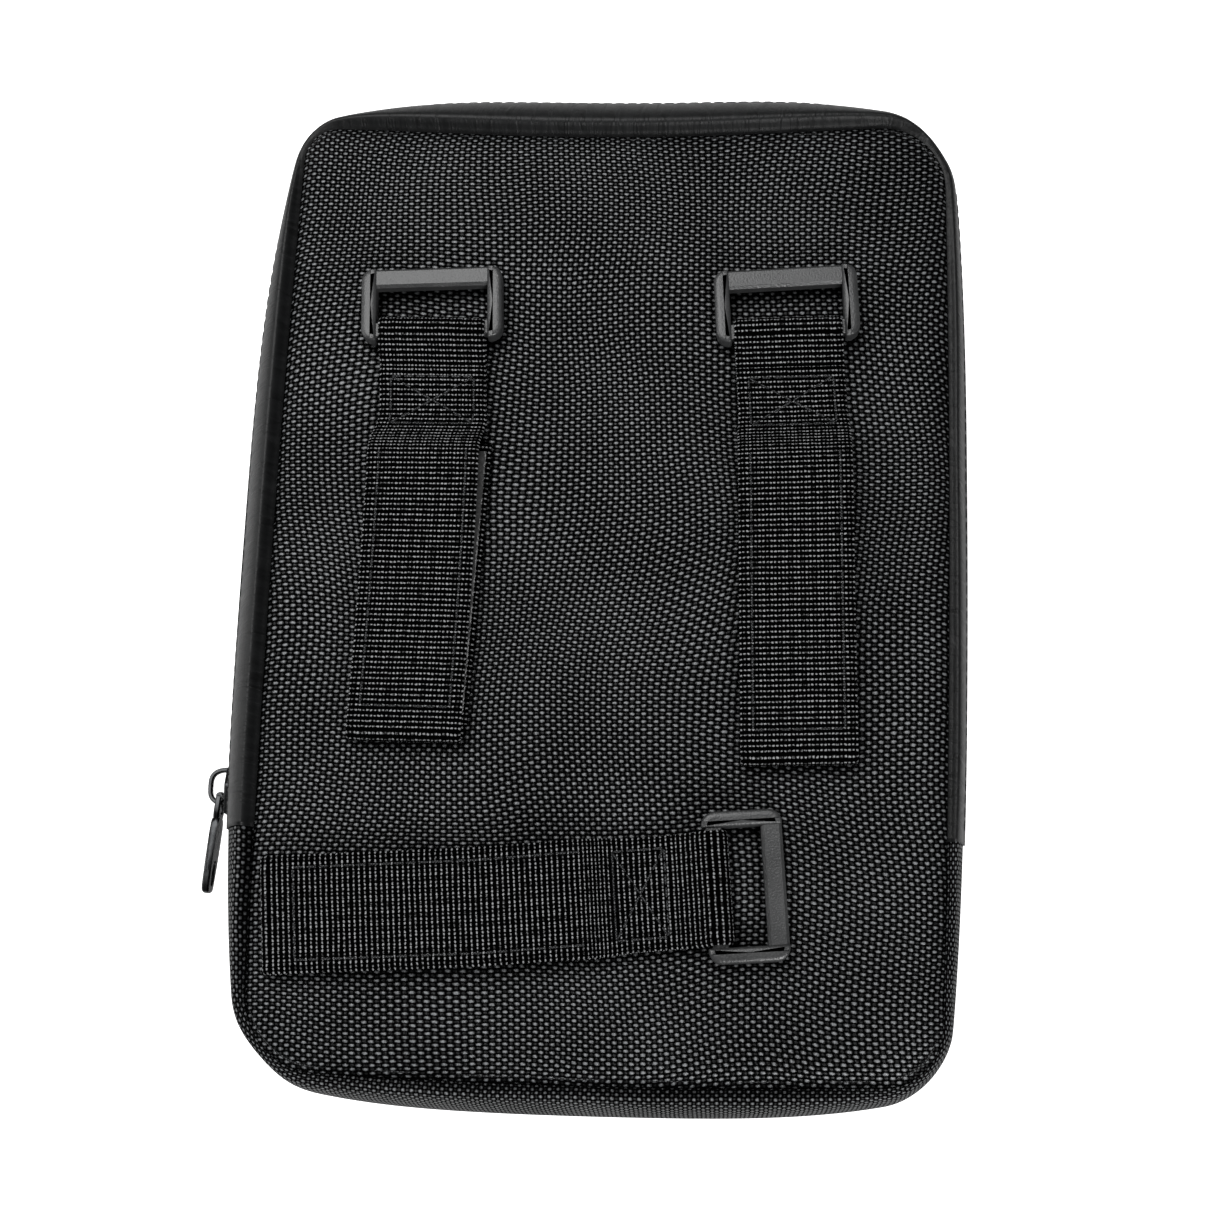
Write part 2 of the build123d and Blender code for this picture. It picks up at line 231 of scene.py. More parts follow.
def wovenCloth(name, across, along, rise, deep, low, high, rough, wobble=0.35, depth=0.25, drift=0.0):
    # plain weave of round threads, its colour painted with light and shade: near black between the threads, a painted
    # highlight on their tops
    material, tree, shader = startMaterial(name)
    place, u, v = threadGrid(tree, across, along, wobble, drift)
    top, overs = plainWeave(tree, u, v, rise)
    height = calc(tree, "DIVIDE", top, 1 + rise)
    strand = addNode(tree, "ShaderNodeTexNoise", {"Vector": place, "Scale": 2600.0, "Detail": 1.0}).outputs[0]
    patch = addNode(tree, "ShaderNodeTexNoise", {"Vector": place, "Scale": 38.0, "Detail": 2.0}).outputs[0]
    lit = calc(tree, "MULTIPLY", height, calc(tree, "MULTIPLY_ADD", strand, 0.5, 0.75))
    lit = calc(tree, "MULTIPLY", lit, calc(tree, "MULTIPLY_ADD", patch, 0.16, 0.92))
    # painted highlight: crossings where the weft lies on top are made lighter
    lit = calc(tree, "MULTIPLY", lit, calc(tree, "MULTIPLY_ADD", overs, 0.24, 0.76))
    # painted shade in seams and under strap edges
    lit = paintedSeamShade(tree, lit)
    # deep is the painted shade between the threads, high the painted highlight on the thread tops
    colour = ramp(tree, lit, (0.62, grey(deep, 0.03)), (0.78, grey(low, 0.03)), (0.99, grey(high, 0.04)))
    tree.links.new(colour, shader.inputs["Base Color"])
    relief = calc(tree, "MULTIPLY_ADD", strand, 0.12, height)
    bump = addNode(tree, "ShaderNodeBump", {"Height": relief, "Distance": depth * mm, "Strength": 1.0})
    tree.links.new(bump.outputs[0], shader.inputs["Normal"])
    # the specular strength follows the same painted light and shade, so the gaps do not shine
    shine = addNode(tree, "ShaderNodeMapRange", {0: lit, 1: 0.62, 2: 1.0, 3: 0.0, 4: 0.55}).outputs[0]
    tree.links.new(shine, shader.inputs["Specular IOR Level"])
    shader.inputs["Roughness"].default_value = rough
    return material


def ribbedWebbing(name):
    # webbing: strong ribs across it, a bead wherever a rib goes over a warp thread, faint lengthwise stripes; its
    # colour holds painted shade between the rows and a painted highlight on the beads
    material, tree, shader = startMaterial(name)
    place, u, v = threadGrid(tree, 0.84, 1.17, 0.18)
    rib = roundThread(tree, v)
    bead = roundThread(tree, u)
    stripe = calc(tree, "COSINE", calc(tree, "MULTIPLY", u, np.pi * 2 / 3))
    strand = addNode(tree, "ShaderNodeTexNoise", {"Vector": place, "Scale": 2200.0, "Detail": 1.0}).outputs[0]
    height = calc(tree, "MULTIPLY", calc(tree, "POWER", rib, 2.6), calc(tree, "MULTIPLY_ADD", bead, 0.50, 0.50))
    height = calc(tree, "MULTIPLY_ADD", stripe, 0.035, height)
    lit = calc(tree, "MULTIPLY", height, calc(tree, "MULTIPLY_ADD", strand, 0.7, 0.65))
    # painted shade and highlight: near black in the gaps between rows, lighter on the bead tops
    colour = ramp(tree, lit, (0.68, grey(0.0005)), (0.86, grey(0.006)), (1.12, grey(0.24, 0.02)))
    tree.links.new(colour, shader.inputs["Base Color"])
    relief = calc(tree, "MULTIPLY_ADD", strand, 0.15, height)
    bump = addNode(tree, "ShaderNodeBump", {"Height": relief, "Distance": 0.22 * mm, "Strength": 1.0})
    tree.links.new(bump.outputs[0], shader.inputs["Normal"])
    # the specular strength follows the same painted light and shade, so the row gaps do not shine
    shine = addNode(tree, "ShaderNodeMapRange", {0: lit, 1: 0.72, 2: 1.1, 3: 0.0, 4: 0.6}).outputs[0]
    tree.links.new(shine, shader.inputs["Specular IOR Level"])
    shader.inputs["Roughness"].default_value = 0.5
    return material


def coatedCloth(name):
    # smooth coated cloth: a fine pebble grain, and long fine creases that run at a slant
    material, tree, shader = startMaterial(name)
    place = addNode(tree, "ShaderNodeUVMap", uv_map="cloth").outputs[0]
    slant = addNode(tree, "ShaderNodeMapping", {"Vector": place, "Rotation": (0, 0, 0.9), "Scale": (1.0, 0.22, 1.0)})
    crease = addNode(
        tree, "ShaderNodeTexNoise", {"Vector": slant.outputs[0], "Scale": 420.0, "Detail": 5.0, "Distortion": 0.8}
    ).outputs[0]
    grain = addNode(tree, "ShaderNodeTexVoronoi", {"Vector": place, "Scale": 1500.0}, feature="F1").outputs[0]
    fold = calc(tree, "ABSOLUTE", calc(tree, "SUBTRACT", crease, 0.5))
    relief = calc(tree, "MULTIPLY_ADD", grain, 0.10, calc(tree, "MULTIPLY", fold, 2.2))
    bump = addNode(tree, "ShaderNodeBump", {"Height": relief, "Distance": 0.22 * mm, "Strength": 0.9})
    tree.links.new(bump.outputs[0], shader.inputs["Normal"])
    colour = ramp(tree, crease, (0.3, grey(0.003, 0.05)), (0.7, grey(0.008, 0.05)))
    tree.links.new(colour, shader.inputs["Base Color"])
    rough = calc(tree, "MULTIPLY_ADD", crease, 0.22, 0.34)
    tree.links.new(rough, shader.inputs["Roughness"])
    shader.inputs["Specular IOR Level"].default_value = 0.25
    return material


def mouldedPlastic(name):
    # satin mould grain: fine noise in the height and the gloss
    material, tree, shader = startMaterial(name)
    place = addNode(tree, "ShaderNodeTexCoord").outputs["Object"]
    grain = addNode(tree, "ShaderNodeTexNoise", {"Vector": place, "Scale": 2400.0, "Detail": 2.0}).outputs[0]
    cloud = addNode(tree, "ShaderNodeTexNoise", {"Vector": place, "Scale": 160.0, "Detail": 3.0}).outputs[0]
    bump = addNode(tree, "ShaderNodeBump", {"Height": grain, "Distance": 0.10 * mm, "Strength": 0.8})
    tree.links.new(bump.outputs[0], shader.inputs["Normal"])
    lit = calc(tree, "MULTIPLY_ADD", grain, 0.5, calc(tree, "MULTIPLY", cloud, 0.5))
    colour = ramp(tree, lit, (0.3, grey(0.020, 0.02)), (0.7, grey(0.048, 0.02)))
    tree.links.new(colour, shader.inputs["Base Color"])
    rough = calc(tree, "MULTIPLY_ADD", cloud, 0.14, 0.26)
    tree.links.new(rough, shader.inputs["Roughness"])
    return material


def platedMetal(name):
    # black nickel: dark metal with a slightly uneven polish
    material, tree, shader = startMaterial(name)
    place = addNode(tree, "ShaderNodeTexCoord").outputs["Object"]
    cloud = addNode(tree, "ShaderNodeTexNoise", {"Vector": place, "Scale": 420.0, "Detail": 3.0}).outputs[0]
    bump = addNode(tree, "ShaderNodeBump", {"Height": cloud, "Distance": 0.05 * mm, "Strength": 0.5})
    tree.links.new(bump.outputs[0], shader.inputs["Normal"])
    tree.links.new(ramp(tree, cloud, (0.3, grey(0.030, 0.03)), (0.7, grey(0.060, 0.03))), shader.inputs["Base Color"])
    tree.links.new(calc(tree, "MULTIPLY_ADD", cloud, 0.2, 0.16), shader.inputs["Roughness"])
    shader.inputs["Metallic"].default_value = 1.0
    return material


def fuzzyTape(name, level):
    # hook and loop pile: tiny tufts from a cell pattern
    material, tree, shader = startMaterial(name)
    place = addNode(tree, "ShaderNodeTexCoord").outputs["Object"]
    tuft = addNode(tree, "ShaderNodeTexVoronoi", {"Vector": place, "Scale": 900.0}, feature="F1").outputs[0]
    bump = addNode(tree, "ShaderNodeBump", {"Height": tuft, "Distance": 0.5 * mm, "Strength": 1.0})
    tree.links.new(bump.outputs[0], shader.inputs["Normal"])
    tree.links.new(ramp(tree, tuft, (0.1, grey(level)), (0.8, grey(level * 0.3))), shader.inputs["Base Color"])
    shader.inputs["Roughness"].default_value = 0.85
    shader.inputs["Sheen Weight"].default_value = 0.3
    return material


finishes = {
    "panel": wovenCloth("basketPanel", 1.30, 0.885, 0.42, 0.0008, 0.008, 0.18, 0.42, 0.6, 0.32, 18.0),
    "gusset": wovenCloth("gussetCloth", 0.95, 0.80, 0.5, 0.001, 0.011, 0.15, 0.46, 0.6, 0.25, 5.0),
    "lining": wovenCloth("liningCloth", 0.75, 0.7, 0.4, 0.018, 0.045, 0.11, 0.6, 0.2, 0.12, 4.0),
    "binding": wovenCloth("bindingTape", 0.6, 0.55, 0.4, 0.006, 0.020, 0.050, 0.6, 0.1, 0.1),
    "zip_tape": wovenCloth("zipTape", 0.5, 0.45, 0.4, 0.006, 0.018, 0.045, 0.6, 0.1, 0.1),
    "webbing": ribbedWebbing("ribbedWebbing"),
    "band": coatedCloth("coatedBand"),
    "ring": mouldedPlastic("mouldedRing"),
    "zip_teeth": mouldedPlastic("nylonCoil"),
    "zip_metal": platedMetal("blackNickel"),
    "hook_loop": fuzzyTape("hookAndLoop", 0.03),
    "foam": fuzzyTape("foamSheet", 0.06),
    "thread": wovenCloth("sewingThread", 0.3, 0.3, 0.3, 0.010, 0.030, 0.085, 0.55, 0.0, 0.03),
}
for entry in frame["record"]["subparts"]:
    node = frame["nodes"][entry["node"]]
    node.data.materials.clear()
    node.data.materials.append(finishes[entry["material_slot"]])
print("materials are ready")


def buildPiece(name, body, finish, points, cloth, wrapAlong=False, wrapAcross=True, ends=True, smooth=True):
    # a grid of points (along, across, xyz) in mm becomes one closed mesh, its open ends closed with a fan
    rows, columns = points.shape[:2]
    i, j = np.meshgrid(np.arange(rows - 1 + wrapAlong), np.arange(columns - 1 + wrapAcross), indexing="ij")
    i, j = i.ravel(), j.ravel()
    nextI, nextJ = (i + 1) % rows, (j + 1) % columns
    quads = np.stack([i * columns + j, nextI * columns + j, nextI * columns + nextJ, i * columns + nextJ], -1)
    corners = np.stack([cloth[i, j], cloth[i + 1, j], cloth[i + 1, j + 1], cloth[i, j + 1]], 1).reshape(-1, 2)
    vertices = points.reshape(-1, 3)
    faces = quads.tolist()
    uvs = [corners]
    if ends and not wrapAlong:
        for row, middle in ((0, len(vertices)), (rows - 1, len(vertices) + 1)):
            ring = np.arange(columns - 1 + wrapAcross)
            following = (ring + 1) % columns
            fan = np.stack([row * columns + ring, row * columns + following, np.full(len(ring), middle)], -1)
            faces += fan.tolist()
            hub = np.broadcast_to(cloth[row].mean(0), (len(ring), 2))
            uvs.append(np.stack([cloth[row, ring], cloth[row, ring + 1], hub], 1).reshape(-1, 2))
        vertices = np.vstack([vertices, points[0].mean(0), points[-1].mean(0)])
    return finishPiece(name, body, finish, vertices, faces, np.vstack(uvs), smooth)


def finishPiece(name, body, finish, vertices, faces, uvs, smooth=True):
    # mesh from mm points, UV in metres, normals turned outwards, then its slot and body
    mesh = bpy.data.meshes.new(name)
    mesh.from_pydata((vertices * mm).tolist(), [], faces)
    layer = mesh.uv_layers.new(name="cloth")
    layer.data.foreach_set("uv", (uvs * mm).astype(np.float32).ravel())
    shape = bmesh.new()
    shape.from_mesh(mesh)
    bmesh.ops.recalc_face_normals(shape, faces=shape.faces)
    shape.to_mesh(mesh)
    shape.free()
    mesh.polygons.foreach_set("use_smooth", np.full(len(mesh.polygons), smooth))
    mesh.materials.append(finishes[finish])
    mesh.update()
    piece = bpy.data.objects.new(name, mesh)
    scene.collection.objects.link(piece)
    if body:
        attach(piece, body)
    return piece


def lengths(points):
    # running length along a line of points, from zero
    return np.concatenate([[0], np.cumsum(np.linalg.norm(np.diff(points, axis=0), axis=1))])


def resample(points, step):
    # the same line walked at even steps
    along = lengths(points)
    count = max(2, int(round(along[-1] / step)) + 1)
    even = np.linspace(0, along[-1], count)
    return np.stack([np.interp(even, along, points[:, k]) for k in range(points.shape[1])], -1)


def ripple(x, y, waves):
    # a sum of slow sines: each wave has a length in mm, a heading in degrees, a phase and a height in mm
    total = np.zeros_like(x, dtype=float)
    for length, heading, phase, height in waves:
        turn = np.radians(heading)
        total += height * np.sin((x * np.cos(turn) + y * np.sin(turn)) * 2 * np.pi / length + phase)
    return total


def hollow(x, y, centre, radii, heading, depth):
    # a smooth dent: depth times e to the minus squared distance, counted in its own radii
    turn = np.radians(heading)
    along = (x - centre[0]) * np.cos(turn) + (y - centre[1]) * np.sin(turn)
    across = -(x - centre[0]) * np.sin(turn) + (y - centre[1]) * np.cos(turn)
    return depth * np.exp(-(along / radii[0]) ** 2 - (across / radii[1]) ** 2)


case = {
    "halfWide": 75.5,
    "halfHigh": 106.5,
    "corners": (8.0, 15.0, 12.0, 15.5),      # radii: top left, top right, bottom right, bottom left
    "deep": 40.0,
    "zipEnd": -55.5,          # the zip and its bands stop here, and the gusset starts
    "swell": (8.7, 12.6, 4.4, 6.2),           # how far the wall stands out past the seam: left, top, right, bottom
    "cornerSwell": 2.2,       # and at the middle of a corner, where it is drawn tight
}
# the back bends over this stretch when the flap opens
foldFrom, foldLong = -54.5, 16.0


def settle(x, y):
    # the stuffed case pulls its seam about: each side bows by the square of the distance from its middle
    across, upward = x / case["halfWide"], y / case["halfHigh"]
    left = 0.127 * ((y + 35) / 31.6) ** 2 - 0.6
    right = -0.6 - 0.127 * ((y - 40) / 31.6) ** 2
    top = 1.2 - 2.3 * (1 - across**2) ** 2
    bottom = -0.4 - 1.9 * (1 - across**2)
    return (
        x + (1 - across) / 2 * left + (1 + across) / 2 * right,
        y + (1 + upward) / 2 * top + (1 - upward) / 2 * bottom,
    )


def outline(inset=0.0, step=1.5):
    # rounded rectangle walked clockwise from the zip's left end, with its outward direction and corner blend
    w, h = case["halfWide"] - inset, case["halfHigh"] - inset
    quarter = np.linspace(0, np.pi / 2, 20)
    points, normals = [(-w, case["zipEnd"])], [(-1.0, 0.0)]
    for k, (sideX, sideY) in enumerate(((-1, 1), (1, 1), (1, -1), (-1, -1))):
        r = max(case["corners"][k] - inset, 1.0)
        angle = np.pi - k * np.pi / 2 - quarter
        points += list(zip(sideX * (w - r) + r * np.cos(angle), sideY * (h - r) + r * np.sin(angle)))
        normals += list(zip(np.cos(angle), np.sin(angle)))
    points.append((-w, case["zipEnd"]))
    normals.append((-1.0, 0.0))
    points, normals = np.array(points), np.array(normals)
    along = lengths(points)
    even = np.linspace(0, along[-1], int(along[-1] / step))
    walk = lambda values: np.stack([np.interp(even, along, values[:, k]) for k in range(2)], -1)
    return walk(points), walk(normals), even


wallPoints, wallNormals, wallLength = outline(step=0.9)
upperCount = int(np.argmax((wallPoints[:, 0] > 0) & (wallPoints[:, 1] < case["zipEnd"])))


def swellAt(along):
    # corner value plus the rest times 1 less t to the fourth, where t runs from -1 to 1 between two corners' middles;
    # averaged over a few millimetres so that it has no kinks
    w, h, r = case["halfWide"], case["halfHigh"], np.array(case["corners"])
    runs = np.array([2 * h, 2 * w, 2 * h, 2 * w]) - (1 - np.pi / 4) * (r + np.roll(r, 1))
    first = -h - case["zipEnd"] + (1 - np.pi / 4) * r[3]
    starts = first + np.append(0, np.cumsum(runs))
    place = first + (np.asarray(along)[..., None] + np.linspace(-5, 5, 11) - first) % runs.sum()
    side = np.clip(np.searchsorted(starts, place, side="right") - 1, 0, 3)
    t = 2 * (place - starts[side]) / runs[side] - 1
    full = np.array(case["swell"])[side]
    return (case["cornerSwell"] + (full - case["cornerSwell"]) * (1 - t**4)).mean(-1)


def wallSurface(rows, out, high):
    # point = seam point + outward direction times out, at height high; out and high are (rows, columns)
    base, normal = wallPoints[rows], wallNormals[rows]
    x = base[:, 0:1] + normal[:, 0:1] * out
    y = base[:, 1:2] + normal[:, 1:2] * out
    x, y = settle(x, y)
    return np.stack([x, y, high + 0 * out], -1)


def wallCloth(rows, line):
    # UV: length along the wall, length round the section, with one more column to close it
    closed = np.vstack([line, line[:1]])
    return np.stack(np.meshgrid(wallLength[rows], lengths(closed), indexing="ij"), -1)


def upperRows():
    # rows of the seam beside the zip
    return np.arange(0, upperCount + 1)


def lowerRows():
    # rows of the seam beside the gusset
    return np.arange(upperCount, len(wallPoints))


print("outline has", len(wallPoints), "steps")

half = case["deep"] / 2
wall = {
    "thick": 1.3,
    "gussetCut": 45.0,        # width each strip is cut to before it is sewn round
    "bandCut": 14.5,
    "tapeHalf": 7.5,          # the two tapes together, from mid-height
    "edgeRoll": 0.45,         # the band's edge stands proud of the tape
    "groove": 3.2,            # depth of the seam groove
    "grooveWide": 1.6,
}


def bandRelief(rows, angle, sign):
    # soft puckers that start at the seam and fade towards the zip, stronger in the corners
    s = wallLength[rows][:, None]
    t = np.clip((np.abs(angle)[None, :] - 0.4) / 1.1, 0, 1)
    corner = (np.abs(wallNormals[rows][:, 0]) * np.abs(wallNormals[rows][:, 1]))[:, None] * 2
    slow = 0.30 * np.sin(s / 17.0 + sign) + 0.22 * np.sin(s / 7.3 + 2.0 * t + sign * 2) * (0.3 + corner)
    fine = 0.10 * np.sin(s / 2.3 + 3.0 * t) * corner * t
    return slow * np.sin(np.pi * np.clip(t, 0.02, 0.98)) + fine


def bandSurface(rows, angle, sign, folded):
    # how far the band's face stands out: the swell, its puckers, and a roll where its edge is folded at the zip
    swell = swellAt(wallLength[rows])[:, None] * np.cos(angle)[None, :]
    roll = wall["edgeRoll"] * np.exp(-((half * np.sin(np.abs(angle)) - wall["tapeHalf"]) / 2.2) ** 2) if folded else 0
    return swell + bandRelief(rows, angle, sign) * np.cos(angle)[None, :] + roll


def addFlange(layer, side):
    # the seam allowance: the wall's cloth runs on under the cover's edge
    out, level = layer
    tip = np.sign(level[:, side] - case["deep"] / 2)
    reach, drop = np.array([1.2, 3.6]), np.array([0.9, 1.6])
    moreOut = np.minimum(out[:, side], 0)[:, None] - reach
    moreLevel = level[:, side][:, None] - tip[:, None] * drop
    more = np.stack([moreOut, moreLevel])
    return np.concatenate([layer, more], 2) if side else np.concatenate([more[:, :, ::-1], layer], 2)


def wallBand(name, finish, rows, sign, low, high, body, steps=30):
    # one coated or woven wall strip: an ellipse arc carried round the seam, thickened inwards
    angle = np.linspace(np.arcsin(low / half), np.arcsin(high / half), steps)
    outerOut = bandSurface(rows, angle, sign, low * sign > 0 or high * sign > 0 and finish == "band")
    dip = wall["groove"] * np.exp(-(outerOut / wall["grooveWide"]) ** 2)
    outerHigh = half + half * np.sin(angle)[None, :] - np.sign(angle)[None, :] * dip
    innerOut = outerOut - wall["thick"] * np.cos(angle)[None, :]
    innerHigh = outerHigh - wall["thick"] * np.sin(angle)[None, :]
    outer, inner = np.stack([outerOut, outerHigh]), np.stack([np.maximum(innerOut, -0.2), innerHigh])
    for side in (0, -1):
        if abs(angle[side]) > 1.5:
            outer, inner = addFlange(outer, side), addFlange(inner, side)
    out, level = np.concatenate([outer, inner[:, :, ::-1]], 2)
    middle = np.stack([out.mean(0), level.mean(0)], -1)
    return buildPiece(name, body, finish, wallSurface(rows, out, level), wallCloth(rows, middle))


edge = wall["tapeHalf"]
gusset = wallBand("gussetCloth", "gusset", lowerRows(), 1, -half * 0.9995, half * 0.9995, "pocket", steps=60)
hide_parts("gusset")
frontBand = wallBand("frontBand", "band", upperRows(), -1, -edge, -half * 0.9995, "pocket")
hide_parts("front_band")
backBand = wallBand("backBand", "band", upperRows(), 1, edge, half * 0.9995, None)
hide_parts("back_band_flap", "back_band_ends")
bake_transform(backBand)
print("side wall is sewn")

cover = {
    "edgeDrop": 3.3,          # the cover rolls down into the seam
    "edgeWide": 1.5,
    "foam": 5.0,
}
slackWaves = (            # length, heading, phase, height
    (96, 12, 0.4, 0.16),
    (58, 100, 1.9, 0.14),
    (41, 58, 0.3, 0.08),
)
hollows = (               # centre, radii, heading, depth
    ((-58, -8), (38, 9), 95, 0.75),
    ((-1, 20), (60, 16), 88, 0.55),
    ((62, 10), (60, 8), 92, 0.6),
    ((-14, 92), (26, 9), 15, 0.5),
    ((-10, -46), (60, 9), 4, 0.6),
    ((5, -96), (60, 6), 0, 0.45),
)


def coverPiece(name, body, finish, topAt, bottomAt, inset, step=1.5, rings=70):
    # rings of the outline scaled from the middle out: over the top, round the edge and back underneath
    edgePoints = outline(inset, step)[0][:-1]
    share = 1 - (1 - np.linspace(0, 1, rings)) ** 1.5
    share = np.concatenate([share[1:], share[1:][::-1]])
    x = edgePoints[None, :, 0] * share[:, None]
    y = edgePoints[None, :, 1] * share[:, None]
    top = np.arange(len(share)) < rings - 1
    inEdge = (1 - share[:, None] + 0 * x) * min(case["halfWide"], case["halfHigh"])
    z = np.where(top[:, None], topAt(x, y, inEdge), bottomAt(x, y, inEdge))
    x, y = settle(x, y)
    points = np.stack([x, y, z], -1)
    cloth = np.stack([x, y], -1)
    cloth = np.concatenate([cloth, cloth[:, :1]], 1)
    return buildPiece(name, body, finish, points, cloth)


def backTop(x, y, inEdge):
    # level with the straps, minus the roll at the seam, the sag and the hollows
    drop = cover["edgeDrop"] * np.exp(-inEdge / cover["edgeWide"])
    slack = ripple(x, y, slackWaves)
    for centre, radii, heading, depth in hollows:
        slack = slack - hollow(x, y, centre, radii, heading, depth)
    free = 1 - np.exp(-inEdge / 6.0)
    return case["deep"] + 0.1 - drop + np.minimum(slack - 0.3, 0) * free


def backUnder(x, y, inEdge):
    # underside of the foam: its depth below the back, a little higher towards the seam
    return case["deep"] - cover["foam"] + 0.6 * np.exp(-inEdge / 3.0) + 0 * x


def frontUnder(x, y, inEdge):
    # the outside of the front cover lies on the table, and rolls up at its edge
    return cover["edgeDrop"] * np.exp(-inEdge / cover["edgeWide"]) + 0 * x


def frontTop(x, y, inEdge):
    # top of the foam: its depth above the front, a little lower towards the seam
    return cover["foam"] - 0.6 * np.exp(-inEdge / 3.0) + 0 * x


backCover = coverPiece("backCover", None, "panel", backTop, backUnder, 0.45)
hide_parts("back_panel_flap", "back_panel_lower", "back_foam_flap", "back_foam_lower")
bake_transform(backCover)
frontCover = coverPiece("frontCover", "pocket", "panel", frontTop, frontUnder, 0.45)
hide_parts("front_panel", "front_foam")
print("covers are padded")


def liningTop(level):
    # the lining's level with a slight ripple
    return lambda x, y, inEdge: level + ripple(x, y, ((37, 20, 0.0, 0.10), (29, 110, 1.0, 0.08)))


backLining = coverPiece("backLining", None, "lining", liningTop(34.7), liningTop(34.1), 0.9, 2.5, 40)
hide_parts("back_lining_flap", "back_lining_lower")
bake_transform(backLining)
frontLining = coverPiece("frontLining", "pocket", "lining", liningTop(5.9), liningTop(5.3), 0.9, 2.5, 40)
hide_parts("front_lining")
print("linings are in")


def gridFaces(rows, columns, first=0):
    # quads of a grid that closes on itself across, with a fan over each open end; two hub vertices follow
    i, j = np.meshgrid(np.arange(rows - 1), np.arange(columns), indexing="ij")
    i, j = i.ravel(), j.ravel()
    k = (j + 1) % columns
    quads = np.stack([i * columns + j, i * columns + k, (i + 1) * columns + k, (i + 1) * columns + j], -1) + first
    ring = np.arange(columns)
    hub = rows * columns
    low = np.stack([(ring + 1) % columns, ring, np.full(columns, hub)], -1) + first
    last = (rows - 1) * columns
    high = np.stack([last + ring, last + (ring + 1) % columns, np.full(columns, hub + 1)], -1) + first
    return quads.tolist() + low.tolist() + high.tolist()


def joinShells(name, body, finish, shells, sharp=None):
    # several closed shells, each a grid of points (rows, columns, xyz) in mm, in one mesh
    vertices, faces, count = [], [], 0
    for shell in shells:
        rows, columns = shell.shape[:2]
        faces += gridFaces(rows, columns, count)
        vertices += [shell.reshape(-1, 3), shell[:1].mean(1), shell[-1:].mean(1)]
        count += rows * columns + 2
    vertices = np.vstack(vertices)
    loops = np.concatenate([np.array(face) for face in faces])
    piece = finishPiece(name, body, finish, vertices, faces, vertices[loops][:, :2])
    if sharp:
        piece.data.set_sharp_from_angle(angle=np.radians(sharp))
    return piece


def capsule(around=8, along=6):
    # a unit capsule along x, from -1 to 1: its radius is a superellipse of its length
    x = -np.cos(np.linspace(0.25, np.pi - 0.25, along))
    radius = (1 - np.abs(x) ** 3.2) ** 0.5
    turn = np.linspace(0, 2 * np.pi, around, endpoint=False)
    return np.stack([
        np.repeat(x[:, None], around, 1), radius[:, None] * np.cos(turn), radius[:, None] * np.sin(turn)
    ], -1)


def scatter(name, body, finish, centres, forward, sideways, upward, size):
    # a capsule at every centre, its three half sizes measured along the three given directions
    bead = capsule()
    rows, columns = bead.shape[:2]
    flat = np.vstack([bead.reshape(-1, 3), bead[0].mean(0), bead[-1].mean(0)]) * np.array(size)
    points = (
        centres[:, None] + flat[None, :, 0:1] * forward[:, None]
        + flat[None, :, 1:2] * sideways[:, None] + flat[None, :, 2:3] * upward[:, None]
    )
    one = gridFaces(rows, columns)
    quads = np.array([face for face in one if len(face) == 4])
    fans = np.array([face for face in one if len(face) == 3])
    shift = np.arange(len(centres))[:, None, None] * len(flat)
    faces = (quads[None] + shift).reshape(-1, 4).tolist() + (fans[None] + shift).reshape(-1, 3).tolist()
    vertices = points.reshape(-1, 3)
    loops = np.concatenate([np.array(face) for face in faces])
    return finishPiece(name, body, finish, vertices, faces, vertices[loops][:, :2])


def unit(vectors):
    # each vector divided by its length
    return vectors / np.maximum(np.linalg.norm(vectors, axis=-1, keepdims=True), 1e-9)


def stitchesAlong(path, pitch, share, radius, sink, upward):
    # one stitch per pitch along a line of points: centres, directions and sizes for scatter
    even = resample(path, pitch)
    first, second = even[:-1], even[1:]
    forward = unit(second - first)
    up = unit(upward - (upward * forward).sum(-1, keepdims=True) * forward)
    centres = (first + second) / 2 + up * (radius - sink)
    return centres, forward, np.cross(up, forward), up, pitch * share / 2, radius


def sewStitches(name, body, lines, pitch=2.7, share=0.82, radius=0.24, sink=0.16, finish="thread"):
    # lines: (points, upward direction) pairs, all sewn with one thread
    parts = [
        stitchesAlong(np.array(path, float), pitch, share, radius, sink, np.array(up, float)) for path, up in lines
    ]
    centres, forward, sideways, up = (np.vstack([part[k] for part in parts]) for k in range(4))
    return scatter(name, body, finish, centres, forward, sideways, up, (pitch * share / 2, radius, radius))


zipSetup = {
    "faceShare": 0.927,       # the tape's outer face follows this share of the swell, less the depth below
    "faceDepth": 1.59,
    "tapeThick": 0.6,
    "tapeGap": 0.7,
    "tapeReach": 9.0,
    "toothPitch": 1.5,
    "toothHalf": 1.65,        # half length across the tape
    "toothMiddle": 1.35,
    "toothHigh": 1.05,        # half depth, out from the tape
    "toothThick": 0.52,
}


def tapeFace(along, normal):
    # a share of the swell, deeper on the right wall, whose swell is small
    return swellAt(along) * zipSetup["faceShare"] - zipSetup["faceDepth"] - 0.8 * np.clip(normal[:, 0], 0, 1)


